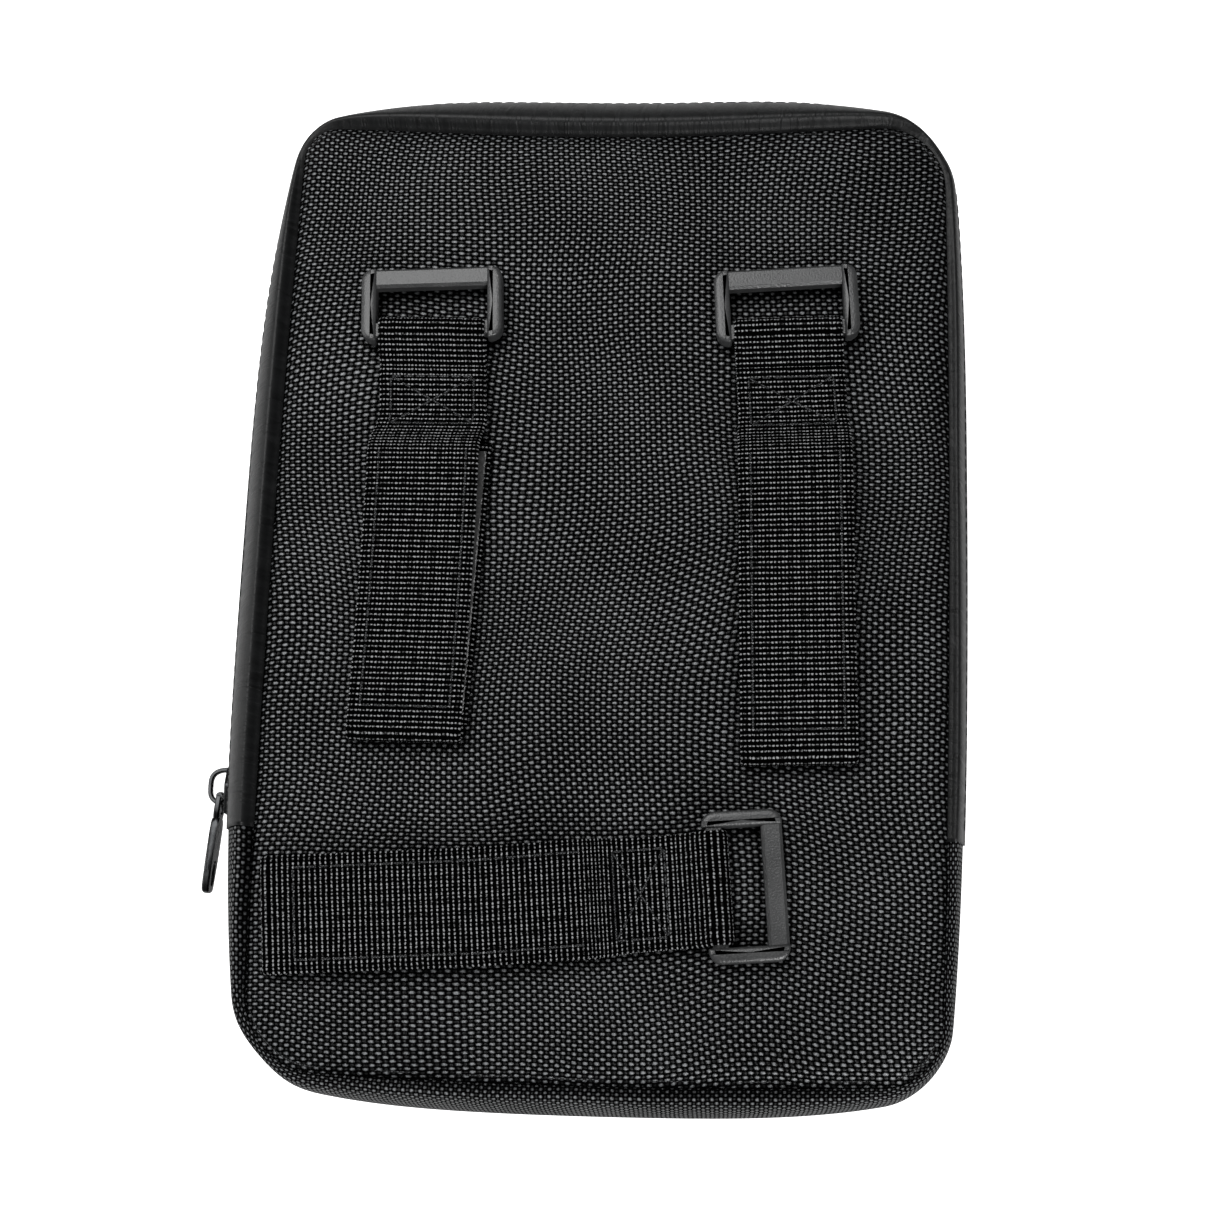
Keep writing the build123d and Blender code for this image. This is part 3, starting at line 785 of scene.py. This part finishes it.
def zipTape(name, sign, body):
    # a flat tape beside the teeth with a corded edge, dropping back by the power 1.4 of the distance
    rows = upperRows()
    face = tapeFace(wallLength[rows], wallNormals[rows])[:, None]
    across = np.linspace(zipSetup["tapeGap"], zipSetup["tapeReach"], 8)
    cord = 0.35 * np.exp(-((across - zipSetup["tapeGap"] - 0.3) / 0.5) ** 2)
    curve = -0.035 * np.clip(across - 3, 0, None) ** 1.4
    outer = face + (cord + curve)[None]
    inner = outer - zipSetup["tapeThick"]
    out = np.hstack([outer, inner[:, ::-1]])
    level = half + sign * np.concatenate([across, across[::-1]])
    points = wallSurface(rows, out, np.repeat(level[None], len(rows), 0))
    line = np.stack([out.mean(0), level], -1)
    return buildPiece(name, body, "zip_tape", points, wallCloth(rows, line))


def wallDirections(count, first, last, level):
    # evenly spaced places on the tape with their outward, onward and upward directions
    along = np.linspace(first, last, count)
    pick = lambda values: np.stack([np.interp(along, wallLength, values[:, k]) for k in range(2)], -1)
    base, normal = pick(wallPoints), unit(pick(wallNormals))
    face = tapeFace(along, normal)
    return base, normal, face, np.repeat(level, count)


def zipTeeth(name, sign, body):
    # coil teeth: one row leans in from each tape, and the two rows take turns
    total = wallLength[upperCount]
    pitch = zipSetup["toothPitch"]
    count = int((total - 5) / pitch)
    first = 2.6 + (0.5 * pitch if sign > 0 else 0)
    base, normal, face, level = wallDirections(count, first, first + (count - 1) * pitch, half)
    out = face + zipSetup["toothHigh"] * 0.8
    x, y = settle(base[:, 0] + normal[:, 0] * out, base[:, 1] + normal[:, 1] * out)
    centres = np.stack([x, y, level + sign * zipSetup["toothMiddle"]], -1)
    outward = np.column_stack([normal, np.zeros(count)])
    upward = np.repeat([[0.0, 0.0, 1.0]], count, 0)
    size = (zipSetup["toothHalf"], zipSetup["toothThick"], zipSetup["toothHigh"])
    # the opened fold draws this side of the tape out, so its teeth are slimmer there
    share = np.clip((y - foldFrom) / foldLong, 0, 1) * (sign > 0)
    slim = 1 / (1 + 5 * share * (1 - share))
    return scatter(name, body, "zip_teeth", centres, upward, np.cross(outward, upward) * slim[:, None], outward, size)


def blockShell(centre, forward, sideways, upward, sizes, bevel):
    # a box with chamfered edges: four rings of eight points between two caps
    a, b, c = (value / 2 for value in sizes)
    corners = np.array([(1, -1), (1, 1), (-1, 1), (-1, -1)])
    rings = []
    for height, inset in ((-c, bevel), (-c + bevel, 0), (c - bevel, 0), (c, bevel)):
        wide, deep = a - inset, b - inset
        ring = []
        for sx, sy in corners:
            pair = [(sx * wide, sy * (deep - bevel)), (sx * (wide - bevel), sy * deep)]
            ring += pair if sx * sy > 0 else pair[::-1]
        rings.append([(x, y, height) for x, y in ring])
    rings = np.array(rings)
    return (
        np.array(centre) + rings[..., 0:1] * np.array(forward)
        + rings[..., 1:2] * np.array(sideways) + rings[..., 2:3] * np.array(upward)
    )


frontTape = zipTape("frontZipTape", -1, "pocket")
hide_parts("front_zip_tape")
backTape = zipTape("backZipTape", 1, None)
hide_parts("back_zip_tape_flap", "back_zip_tape_ends")
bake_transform(backTape)
frontTeeth = zipTeeth("frontZipTeeth", -1, "pocket")
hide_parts("front_zip_teeth")
backTeeth = zipTeeth("backZipTeeth", 1, None)
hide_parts("back_zip_teeth_flap", "back_zip_teeth_ends")
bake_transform(backTeeth)

stopShells = []
for place in (1.2, wallLength[upperCount] - 1.2):
    base, normal, face, level = wallDirections(1, place, place, half)
    x, y = settle(base[0, 0] + normal[0, 0] * (face[0] + 1.4), base[0, 1])
    stopShells.append(blockShell((x, y, half), (1, 0, 0), (0, 1, 0), (0, 0, 1), (2.9, 2.2, 6.4), 0.35))
zipStops = joinShells("zipStops", "pocket", "zip_metal", stopShells, 30)
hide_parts("zip_stops")

slider = {
    "plate": -85.0,           # inner face of the outer plate
    "thick": 1.1,
    "middle": -45.9,
    "long": 10.8,
    "head": 8.6,              # width at the head, and at the tail
    "tail": 6.4,
    "archMiddle": -44.9,
    "archHalf": 4.4,
    "archRise": 4.6,
    "archThick": 1.1,
    "archWide": 2.0,
}


def plateShell(outlinePoints, levels, place):
    # rings of a convex outline, each moved inwards by its inset, at its level; place turns them into xyz
    following = np.roll(outlinePoints, -1, 0) - outlinePoints
    before = outlinePoints - np.roll(outlinePoints, 1, 0)
    tangent = unit(unit(following) + unit(before))
    flatX, flatY = outlinePoints.T
    area = (flatX * np.roll(flatY, -1) - np.roll(flatX, -1) * flatY).sum()
    inward = np.stack([-tangent[:, 1], tangent[:, 0]], -1) * np.sign(area)
    (lowInset, lowLevel), (highInset, highLevel) = levels[0], levels[-1]
    levels = ((lowInset + 0.1, lowLevel),) + tuple(levels) + ((highInset + 0.1, highLevel),)
    return np.stack([place(outlinePoints + inward * inset, level) for inset, level in levels])


def arcCorner(corners, radii, steps=7):
    # a polygon with each corner rounded to its own radius
    corners = np.array(corners, float)
    result = []
    for k, radius in enumerate(radii):
        here, before, after = corners[k], corners[k - 1], corners[(k + 1) % len(corners)]
        toBefore, toAfter = unit(before - here), unit(after - here)
        angle = np.arccos(np.clip((toBefore * toAfter).sum(), -1, 1))
        reach = radius / np.tan(angle / 2)
        start, end = here + toBefore * reach, here + toAfter * reach
        t = np.linspace(0, 1, steps)[:, None]
        result.append((1 - t) ** 2 * start + 2 * t * (1 - t) * (here * 0.82 + (start + end) * 0.09) + t**2 * end)
    return np.vstack(result)


def sliderShells():
    # two plates, the walls and the post between them, and an arch that is a flattened half circle
    shells = []
    s = slider
    head, tail, length = s["head"] / 2, s["tail"] / 2, s["long"] / 2
    wide = arcCorner(
        [(length, -head * 0.55), (length, head * 0.55), (1.0, head), (-length, tail), (-length, -tail), (1.0, -head)],
        (1.2, 1.2, 1.6, 1.0, 1.0, 1.6), 5,
    )
    for inner, rise in ((s["plate"], s["thick"]), (s["plate"] + 4.6, 0.9)):
        put = lambda flat, level, inner=inner: np.stack(
            [np.full(len(flat), inner - level), s["middle"] + flat[:, 0], half + flat[:, 1]], -1
        )
        levels = ((0.25, 0.0), (0.0, 0.2), (0.0, rise - 0.35), (0.12, rise - 0.12), (0.4, rise))
        shells.append(plateShell(wide, levels, put))
    for side in (-1, 1):
        shells.append(blockShell(
            (s["plate"] + 0.9, s["middle"] - 1.0, half + side * (head - 0.65)), (1, 0, 0), (0, 1, 0), (0, 0, 1),
            (2.2, 7.4, 0.9), 0.2,
        ))
    shells.append(blockShell(
        (s["plate"] + 2.2, s["middle"] - 3.2, half), (1, 0, 0), (0, 1, 0), (0, 0, 1), (5.4, 2.4, 0.8), 0.2,
    ))
    turn = np.linspace(0, np.pi, 26)
    flatTop = np.sign(np.cos(turn)) * np.abs(np.cos(turn)) ** 0.62
    y = s["archMiddle"] + flatTop * (s["archHalf"] - s["archThick"] / 2)
    x = s["plate"] - s["thick"] + 0.5 - np.sin(turn) ** 0.75 * (s["archRise"] - s["archThick"] / 2 + 0.4)
    arch = np.stack([x, y, np.full(26, half)], -1)
    shells.append(tubeShell(arch, (s["archThick"] / 2, s["archWide"] / 2), (0, 0, 1)))
    return shells


def tubeShell(path, radii, side, around=12, power=0.7):
    # a rounded bar swept along a path: its section is a superellipse, its ends shrink to close
    tangent = unit(np.gradient(path, axis=0))
    side = np.array(side, float)
    thick = unit(np.cross(tangent, side))
    turn = np.linspace(0, 2 * np.pi, around, endpoint=False) + np.pi / around
    a = np.sign(np.cos(turn)) * np.abs(np.cos(turn)) ** power * radii[0]
    b = np.sign(np.sin(turn)) * np.abs(np.sin(turn)) ** power * radii[1]
    return path[:, None] + a[None, :, None] * thick[:, None] + b[None, :, None] * side


zipSlider = joinShells("zipSlider", "slider", "zip_metal", sliderShells(), 35)
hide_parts("zip_slider")

pull = {
    "pivot": (-87.553, -47.1),
    "lean": 5.0,
    "long": 21.8,
    "wide": 5.2,
    "thick": 1.7,
    "bar": 0.7,
}


def loopPlate(outer, inner, thick, bevel, place):
    # a flat plate with one hole: its section runs over the top, down the outside, under, and up inside
    rim = unit(outer - inner) * bevel
    rings = (
        (inner + rim * 0.6, thick), (inner, thick - bevel * 0.6),
        (inner, bevel * 0.6 - thick), (inner + rim * 0.6, -thick),
        (outer - rim, -thick), (outer, bevel - thick), (outer, thick - bevel), (outer - rim, thick),
    )
    return np.stack([place(flat, level) for flat, level in rings], 1)


def ovalLoop(centre, halfLong, halfWide, count, power):
    # a superellipse: cosine and sine raised to a power
    turn = np.linspace(0, 2 * np.pi, count, endpoint=False)
    a = np.sign(np.cos(turn)) * np.abs(np.cos(turn)) ** power * halfLong
    b = np.sign(np.sin(turn)) * np.abs(np.sin(turn)) ** power * halfWide
    return np.stack([centre + a, b], -1)


def ringShellPiece(name, body, finish, loops, extra, sharp):
    # torus-like grids (closed both ways) and capped shells in one mesh
    vertices, faces, count = [], [], 0
    for grid in loops:
        rows, columns = grid.shape[:2]
        i, j = np.meshgrid(np.arange(rows), np.arange(columns), indexing="ij")
        i, j = i.ravel(), j.ravel()
        k, m = (i + 1) % rows, (j + 1) % columns
        faces += (np.stack([i * columns + j, k * columns + j, k * columns + m, i * columns + m], -1) + count).tolist()
        vertices.append(grid.reshape(-1, 3))
        count += rows * columns
    for shell in extra:
        rows, columns = shell.shape[:2]
        faces += gridFaces(rows, columns, count)
        vertices += [shell.reshape(-1, 3), shell[:1].mean(1), shell[-1:].mean(1)]
        count += rows * columns + 2
    vertices = np.vstack(vertices)
    ends = np.concatenate([np.array(face) for face in faces])
    piece = finishPiece(name, body, finish, vertices, faces, vertices[ends][:, :2])
    piece.data.set_sharp_from_angle(angle=np.radians(sharp))
    return piece


def pullPlace(flat, level):
    # from along and above the pull to the frame, turned by its lean about its pivot
    lean = np.radians(pull["lean"])
    x0, y0 = pull["pivot"]
    return np.stack([
        x0 - np.sin(lean) * flat[:, 0] - np.cos(lean) * level,
        y0 - np.cos(lean) * flat[:, 0] + np.sin(lean) * level,
        half + flat[:, 1],
    ], -1)


wideHalf, thickHalf = pull["wide"] / 2, pull["thick"] / 2
forkLoop = loopPlate(
    ovalLoop(2.4, 3.4, wideHalf * 0.93, 40, 0.62), ovalLoop(2.1, 1.9, 1.25, 40, 0.6), thickHalf * 0.8, 0.35, pullPlace
)
tipMiddle = (pull["long"] + 4.6) / 2
tipHalf = (pull["long"] - 4.6) / 2
tipLoop = loopPlate(
    ovalLoop(tipMiddle, tipHalf, wideHalf, 64, 0.42), ovalLoop(pull["long"] - 4.5, 2.7, 1.2, 64, 0.75),
    thickHalf, 0.4, pullPlace,
)
barEnds = np.linspace(-wideHalf + 0.5, wideHalf - 0.5, 6)
pullBar = tubeShell(
    np.stack([np.full(6, pull["pivot"][0]), np.full(6, pull["pivot"][1]), half + barEnds], -1),
    (pull["bar"],) * 2, (1, 0, 0), 12, 1.0,
)
zipPull = ringShellPiece("zipPull", "pull", "zip_metal", [forkLoop, tipLoop], [pullBar], 38)
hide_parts("zip_pull")
print("zip is in")

bindingSetup = {"inset": 1.5, "thick": 1.3, "wide": 6.0}


def seamBinding(name, low, body):
    # a folded tape over the raw seam, inside the wall: a rounded strip carried right round
    edgePoints, normals, walk = outline(0.0, 2.0)
    b = bindingSetup
    turn = np.linspace(0, 2 * np.pi, 16, endpoint=False)
    out = -b["inset"] - b["thick"] / 2 + np.sign(np.cos(turn)) * np.abs(np.cos(turn)) ** 0.5 * b["thick"] / 2
    high = low + b["wide"] / 2 + np.sign(np.sin(turn)) * np.abs(np.sin(turn)) ** 0.5 * b["wide"] / 2
    puff = 0.12 * np.sin(walk / 3.1)[:, None]
    x = edgePoints[:, 0:1] + normals[:, 0:1] * (out[None] + puff)
    y = edgePoints[:, 1:2] + normals[:, 1:2] * (out[None] + puff)
    x, y = settle(x, y)
    points = np.stack([x, y, np.repeat(high[None], len(walk), 0)], -1)[:-1]
    line = np.stack([out, high], -1)
    closed = lengths(np.vstack([line, line[:1]]))
    cloth = np.stack(np.meshgrid(walk, closed, indexing="ij"), -1)
    return buildPiece(name, body, "binding", points, cloth, wrapAlong=True)


frontBinding = seamBinding("frontBinding", 1.6, "pocket")
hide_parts("front_seam_binding")
backBinding = seamBinding("backBinding", case["deep"] - 1.6 - bindingSetup["wide"], None)
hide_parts("back_seam_binding_flap", "back_seam_binding_lower")
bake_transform(backBinding)
print("bindings are in")

strapNames = ("left", "right", "bottom")
strapPlaces = {
    # name: ring bar, heading in degrees, distance from bar to hinge, ring heading, body the base is sewn to
    "left": ((-40.6, 55.4), 89.5, 90.3, 92.0, "flap"),
    "right": ((38.7, 55.6), 92.0, 94.2, 93.5, "flap"),
    "bottom": ((24.7, -67.2), 4.6, 94.2, 4.5, "pocket"),
}
webbingSetup = {
    "thick": 1.4,
    "armWide": 24.8,
    "loopWide": 23.8,
    "baseWide": 25.0,
    "rowPitch": 1.17,
    "rowDepth": 0.30,
    "groovePitch": 2.52,
    "grooveDepth": 0.09,
    "fine": 0.195,            # step along the part that shows, and along the rest
    "coarse": 0.7,
}
# sideways shift of the arm and of the base, in mm to the strap's left, at distances behind the bar
armDrift = {
    "left": ((0, 0.0), (-21, -1.0), (-26, 0.4), (-34, 0.2), (-60, 0.6), (-92, 1.5)),
    "right": ((0, 0.0), (-21, -0.7), (-34, -0.7), (-60, -0.3), (-96, 0.2)),
    "bottom": ((0, 0.0), (-20, -0.4), (-50, -0.95), (-96, 0.0)),
}
baseDrift = {
    "left": ((-25, -1.9), (-92, 0.8)),
    "right": ((-25, -0.9), (-96, 0.2)),
    "bottom": ((-25, -0.7), (-96, 0.0)),
}
# height of the arm's middle above the panel, at distances behind the bar
armHeights = {
    "left": ((-8, 2.4), (-20.5, 2.5), (-24, 3.6), (-28, 5.5), (-34, 5.7), (-48, 4.9), (-70, 4.4)),
    "right": ((-8, 2.4), (-19.5, 2.5), (-23.5, 3.7), (-27, 5.2), (-34, 5.4), (-50, 4.7), (-74, 4.4)),
    "bottom": ((-8, 2.4), (-21, 2.5), (-25, 3.5), (-30, 4.6), (-50, 4.5), (-74, 4.35)),
}
armRoll = {"left": 2.0, "right": 0.8, "bottom": -0.6}      # degrees about the strap's length near the step


def at(table, where):
    # straight lines between the table's places, rounded by averaging over a few millimetres
    keys, values = np.array(sorted(table)).T
    spread = np.linspace(-2.0, 2.0, 9)
    return np.interp(np.asarray(where)[..., None] + spread, keys, values).mean(-1)


def strapPoint(name, a, c, z):
    # from (towards the ring, to the left, above the panel) to the frame
    (barX, barY), heading = strapPlaces[name][:2]
    turn = np.radians(heading)
    return np.stack([
        barX + a * np.cos(turn) - c * np.sin(turn),
        barY + a * np.sin(turn) + c * np.cos(turn),
        case["deep"] + z,
    ], -1)


def strapLine(name):
    # the arm's middle line as (towards the ring, above the panel): curl, long run, loop and turned-in end
    hinge = -strapPlaces[name][2]
    curl = np.linspace(-np.pi / 2, -3 * np.pi / 2, 15)
    loop = np.linspace(np.pi / 2, -np.pi / 2, 15)
    arm = np.linspace(hinge, -8, 90)
    heights = at(armHeights[name] + ((hinge, 4.3),), arm)
    wave = 0.10 * np.sin(arm / 9.0) + 0.07 * np.sin(arm / 4.3 + 1.0)
    heights = heights + wave * np.clip((arm - hinge) / 10, 0, 1) * np.clip((-8 - arm) / 10, 0, 1)
    return (
        np.array([(hinge + 3.0, 0.9), (hinge + 1.5, 0.9)]),
        np.stack([hinge + 1.7 * np.cos(curl), 2.6 + 1.7 * np.sin(curl)], -1)[:-1],
        np.stack([arm, heights], -1),
        np.array([(-1.2, 5.9)]),
        np.stack([2.5 * np.cos(loop), 3.4 + 2.5 * np.sin(loop)], -1),
        resample(np.array([(-0.8, 0.9), (-21.3, 0.9)]), 1.0),
    )


def strapSheet(name):
    # the middle line with a section carried along it: rows are a power of a sine, grooves are small dents
    w = webbingSetup
    parts = strapLine(name)
    line = np.vstack(parts)
    along = lengths(line)
    armStart = along[len(parts[0])]
    loopEnd = along[sum(len(part) for part in parts[:5]) - 6]
    total = along[-1]
    steps = np.concatenate([
        np.arange(0, armStart, w["coarse"]), np.arange(armStart, loopEnd, w["fine"]),
        np.arange(loopEnd, total, w["coarse"]), [total],
    ])
    centre = np.stack([np.interp(steps, along, line[:, k]) for k in range(2)], -1)
    smoothed = np.stack([np.interp(np.linspace(0, total, 900), along, line[:, k]) for k in range(2)], -1)
    direction = unit(np.gradient(smoothed, axis=0))
    tangent = unit(np.stack([np.interp(steps, np.linspace(0, total, 900), direction[:, k]) for k in range(2)], -1))
    normal = np.stack([-tangent[:, 1], tangent[:, 0]], -1)
    hinge = -strapPlaces[name][2]
    onLoop = np.clip((centre[:, 0] + 24) / 6, 0, 1)
    drift = at(armDrift[name], centre[:, 0])
    width = (1 - onLoop) * w["armWide"] + onLoop * w["loopWide"]
    # rows crowd together where the webbing climbs the step
    crowd = 1 + 0.45 * np.exp(-((centre[:, 0] + 25.5) / 3.2) ** 2)
    rowAt = np.concatenate([[0], np.cumsum(np.diff(steps) * (crowd[1:] + crowd[:-1]) / 2)])
    topShare = np.concatenate([[-1, -0.992, -0.97], np.linspace(-0.94, 0.94, 52), [0.97, 0.992, 1]])
    lowShare = np.linspace(1, -1, 14)[1:-1]
    share = np.concatenate([topShare, lowShare])
    over = np.arange(len(share)) < len(topShare)
    girth = np.where(over, 1, -1) * (1 - np.abs(share) ** 26) ** 0.5 * w["thick"] / 2
    c = share[None] * width[:, None] / 2
    row = (np.abs(np.sin(np.pi * rowAt / w["rowPitch"])) ** 0.8)[:, None]
    beside = np.mod(share * w["armWide"] / 2 + w["groovePitch"] / 2, w["groovePitch"]) - w["groovePitch"] / 2
    groove = np.exp(-((beside / 0.35) ** 2))[None]
    inside = np.clip((1 - np.abs(share)) / 0.03, 0, 1)[None]
    relief = (row - 1) * w["rowDepth"] * inside - groove * w["grooveDepth"] * inside
    scallop = 0.16 * (row - 0.5) * (np.abs(share) > 0.9)[None] * np.sign(share)[None]
    offset = girth[None] + np.where(over[None], relief, -0.4 * relief)
    roll = np.radians(armRoll[name]) * np.exp(-((centre[:, 0] + 32) / 16) ** 2)
    sag = -0.00088 * c**2
    a = centre[:, 0:1] + normal[:, 0:1] * offset
    z = centre[:, 1:2] + normal[:, 1:2] * offset - c * np.sin(roll)[:, None]
    z = z + np.clip(sag, -0.6, 0) * (centre[:, 1:2] > 3)
    points = strapPoint(name, a, drift[:, None] + c + scallop, z)
    u = np.append(share, share[0]) * w["armWide"] / 2
    cloth = np.stack(np.meshgrid(rowAt, u, indexing="ij"), -1)[..., ::-1]
    return points, cloth, total


def peel(piece):
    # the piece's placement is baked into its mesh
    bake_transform(piece)


def flatStrip(name, key, finish, span, level, wide, thick, drift, body, relief):
    # a flat strip along the strap; relief(a, share, over) adds its weave rows or pile in mm
    a = np.arange(*span, 0.3 if finish == "webbing" else 0.6)
    share = np.concatenate([np.linspace(-1, 1, 41), np.linspace(1, -1, 12)[1:-1]])
    over = np.arange(len(share)) < 41
    side = np.where(over, 1, -1) * (1 - np.abs(share) ** 20) ** 0.5 * thick / 2
    z = level(a)[:, None] + side[None] + relief(a[:, None], share[None], over[None]) * np.where(over, 1, -1)[None]
    c = share[None] * wide / 2 + at(drift[name], a)[:, None]
    points = strapPoint(name, np.repeat(a[:, None], len(share), 1), c, z)
    cloth = np.stack(np.meshgrid(a, np.append(share, share[0]) * wide / 2, indexing="ij"), -1)[..., ::-1]
    return buildPiece(f"{name}{key}", body, finish, points, cloth)


def webbingRows(a, share, over):
    # rows across the strap, a power of the sine of the distance along
    row = np.abs(np.sin(np.pi * a / webbingSetup["rowPitch"])) ** 0.8
    return (row - 1) * 0.2 * np.clip((1 - np.abs(share)) / 0.03, 0, 1)


for strapName in strapNames:
    points, cloth, total = strapSheet(strapName)
    piece = buildPiece(f"{strapName}Webbing", None, "webbing", points, cloth)
    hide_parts(f"{strapName}_arm")
    peel(piece)
    print(strapName, "webbing is", round(total, 1), "mm long")


def pile(facing):
    # tufts on the side that faces the other tape
    def relief(a, share, over):      # sines of sines along and across
        tuft = 0.10 * np.sin(a * 5.1 + 7 * np.sin(share * 31)) * np.sin(share * 47 + a)
        return np.where(over == facing, tuft, 0)
    return relief


for strapName in strapNames:
    body, hinge = strapPlaces[strapName][4], -strapPlaces[strapName][2]
    base = flatStrip(
        strapName, "Base", "webbing", (hinge + 2.0, -25.3), lambda a: 0.9 + 0 * a, webbingSetup["baseWide"], 1.4,
        baseDrift, body, webbingRows,
    )
    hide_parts(f"{strapName}_base")
    loopTape = flatStrip(
        strapName, "LoopTape", "hook_loop", (hinge + 4.0, -27.0), lambda a: 2.05 + 0 * a, 23.0, 0.85,
        baseDrift, body, pile(True),
    )
    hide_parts(f"{strapName}_loop_tape")
    under = lambda a, name=strapName, end=hinge: at(armHeights[name] + ((end, 4.3),), a) - 1.2
    hookTape = flatStrip(
        strapName, "HookTape", "hook_loop", (hinge + 12.0, -29.0), under, 22.4, 0.9,
        armDrift, f"{strapName}_strap", pile(False),
    )
    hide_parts(f"{strapName}_hook_tape")
print("hook and loop tapes are in")


def armTop(name, a, c):
    # point on the arm's upper face, from its heights, drift and roll
    hinge = -strapPlaces[name][2]
    z = at(armHeights[name] + ((hinge, 4.3),), a) + webbingSetup["thick"] / 2
    roll = np.radians(armRoll[name]) * np.exp(-((np.asarray(a) + 32) / 16) ** 2)
    return strapPoint(name, np.asarray(a), c + at(armDrift[name], a), z - c * np.sin(roll) - 0.12)


def seamOn(name, start, end, count=40):
    # a straight seam on the arm from (along, across) to (along, across)
    t = np.linspace(0, 1, count)
    a = start[0] + (end[0] - start[0]) * t
    c = start[1] + (end[1] - start[1]) * t
    return armTop(name, a, c), (0, 0, 1)


for strapName in strapNames:
    hinge = -strapPlaces[strapName][2]
    edge = webbingSetup["armWide"] / 2 - 2.7
    near, far = -10.5, -21.5
    box = edge - 0.4
    lines = [
        seamOn(strapName, (-28, edge), (hinge + 5, edge)),
        seamOn(strapName, (-28, -edge), (hinge + 5, -edge)),
        seamOn(strapName, (hinge + 5, -edge), (hinge + 5, edge)),
        seamOn(strapName, (near, -box), (near, box)),
        seamOn(strapName, (far, -box), (far, box)),
        seamOn(strapName, (near, -box), (far, -box)),
        seamOn(strapName, (near, box), (far, box)),
        seamOn(strapName, (near, -box), (far, box)),
        seamOn(strapName, (near, box), (far, -box)),
    ]
    peel(sewStitches(f"{strapName}Stitches", None, lines))

bandSeam = upperRows()[3:-3]
for sign, name, body in ((-1, "frontBandStitches", "pocket"), (1, "backBandStitches", None)):
    level = wall["tapeHalf"] + 2.0
    out = bandSurface(bandSeam, np.arcsin(np.array([sign * level / half])), sign, True) + 0.02
    path = wallSurface(bandSeam, out, np.full_like(out, half + sign * level))[:, 0]
    centres, forward, sideways, up, _, _ = stitchesAlong(path, 2.9, 0.8, 0.2, 0.12, np.array([0.0, 0.0, 1.0]))
    outward = np.cross(forward, up)
    sewn = scatter(name, body, "thread", centres - up * 0.08, forward, up, outward, (1.16, 0.17, 0.17))
    if not body:
        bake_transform(sewn)
print("stitches are in")

ringSetup = {
    "inner": 25.0,            # between the side plates
    "side": 3.35,
    "near": -2.4,             # ends of the side plates, from the near bar
    "far": 14.6,
    "thick": 4.2,
    "level": 3.4,             # the near bar above the panel
    "farBar": 4.5,
    "farThick": 3.0,
    "nearBar": 1.45,
}


def ringPlace(name):
    # from along and beside the bar to the frame, turned by the ring's own heading
    (barX, barY), heading, _, ringHeading, _ = strapPlaces[name]
    turn = np.radians(ringHeading)
    along = np.array([np.cos(turn), np.sin(turn), 0])
    side = np.array([-np.sin(turn), np.cos(turn), 0])
    origin = np.array([barX, barY, case["deep"] + ringSetup["level"]])
    return lambda flat, level: origin + flat[:, 0:1] * along + flat[:, 1:2] * side + np.array([0, 0, 1]) * level


def ringShells(name):
    # two side plates with their tabs, the far bar with its bevel, and the round near bar
    r = ringSetup
    put = ringPlace(name)
    rise = r["thick"] / 2
    shells = []
    for sign in (-1, 1):
        low, high = r["inner"] / 2 * sign, (r["inner"] / 2 + r["side"]) * sign
        plan = arcCorner(
            [(r["near"], low), (r["near"], high), (r["far"], high), (r["far"], low)], (0.35, 2.8, 2.8, 0.35), 9
        )
        levels = (
            (0.45, -rise), (0.0, -rise + 0.45), (0.0, rise - 0.7), (0.1, rise - 0.4), (0.35, rise - 0.18),
            (0.75, rise - 0.05), (1.25, rise),
        )
        shells.append(plateShell(plan, levels, put))
        tab = arcCorner(
            [(-1.5, low - sign * 0.9), (-1.5, low + sign * 0.4), (1.9, low + sign * 0.4), (1.9, low - sign * 0.9)],
            (0.3,) * 4, 4,
        )
        shells.append(plateShell(tab, ((0.2, -1.2), (0.0, -1.0), (0.0, 1.15), (0.25, 1.4)), put))
    # far bar: a section in (along, height) with a wide bevel on its inner edge, carried across
    start, end, thick = r["far"] - r["farBar"] - 0.1, r["far"] - 0.1, r["farThick"] / 2
    section = np.array([
        (start, -thick + 0.4), (start + 0.4, -thick), (end - 0.5, -thick), (end, -thick + 0.5),
        (end, thick - 0.6), (end - 0.6, thick + 0.1), (start + 0.75, thick + 0.1), (start + 0.1, thick - 0.55),
    ])
    across = np.linspace(-r["inner"] / 2 - 0.6, r["inner"] / 2 + 0.6, 9)
    middle = section.mean(0)
    for stretch, size in ((0.955, 1.0), (1.0, 0.72)):       # the bar, and its slimmer root in the side plates
        flat = middle + (section - middle) * size - (0, 0.3 * (size < 1))
        shells.append(np.stack([
            put(np.stack([flat[:, 0], np.full(8, c * stretch)], -1), 0.0) + flat[:, 1:2] * np.array([0, 0, 1])
            for c in across
        ]))
    turn = np.linspace(0, 2 * np.pi, 20, endpoint=False)
    bar = [
        put(np.stack([r["nearBar"] * np.cos(turn), np.full(20, c)], -1), 0.0)
        + (r["nearBar"] * np.sin(turn))[:, None] * np.array([0, 0, 1]) for c in across
    ]
    shells.append(np.stack(bar))
    return shells


for strapName in strapNames:
    ringPiece = joinShells(f"{strapName}Ring", f"{strapName}_link", "ring", ringShells(strapName), 32)
    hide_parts(f"{strapName}_ring")
print("rings are in")
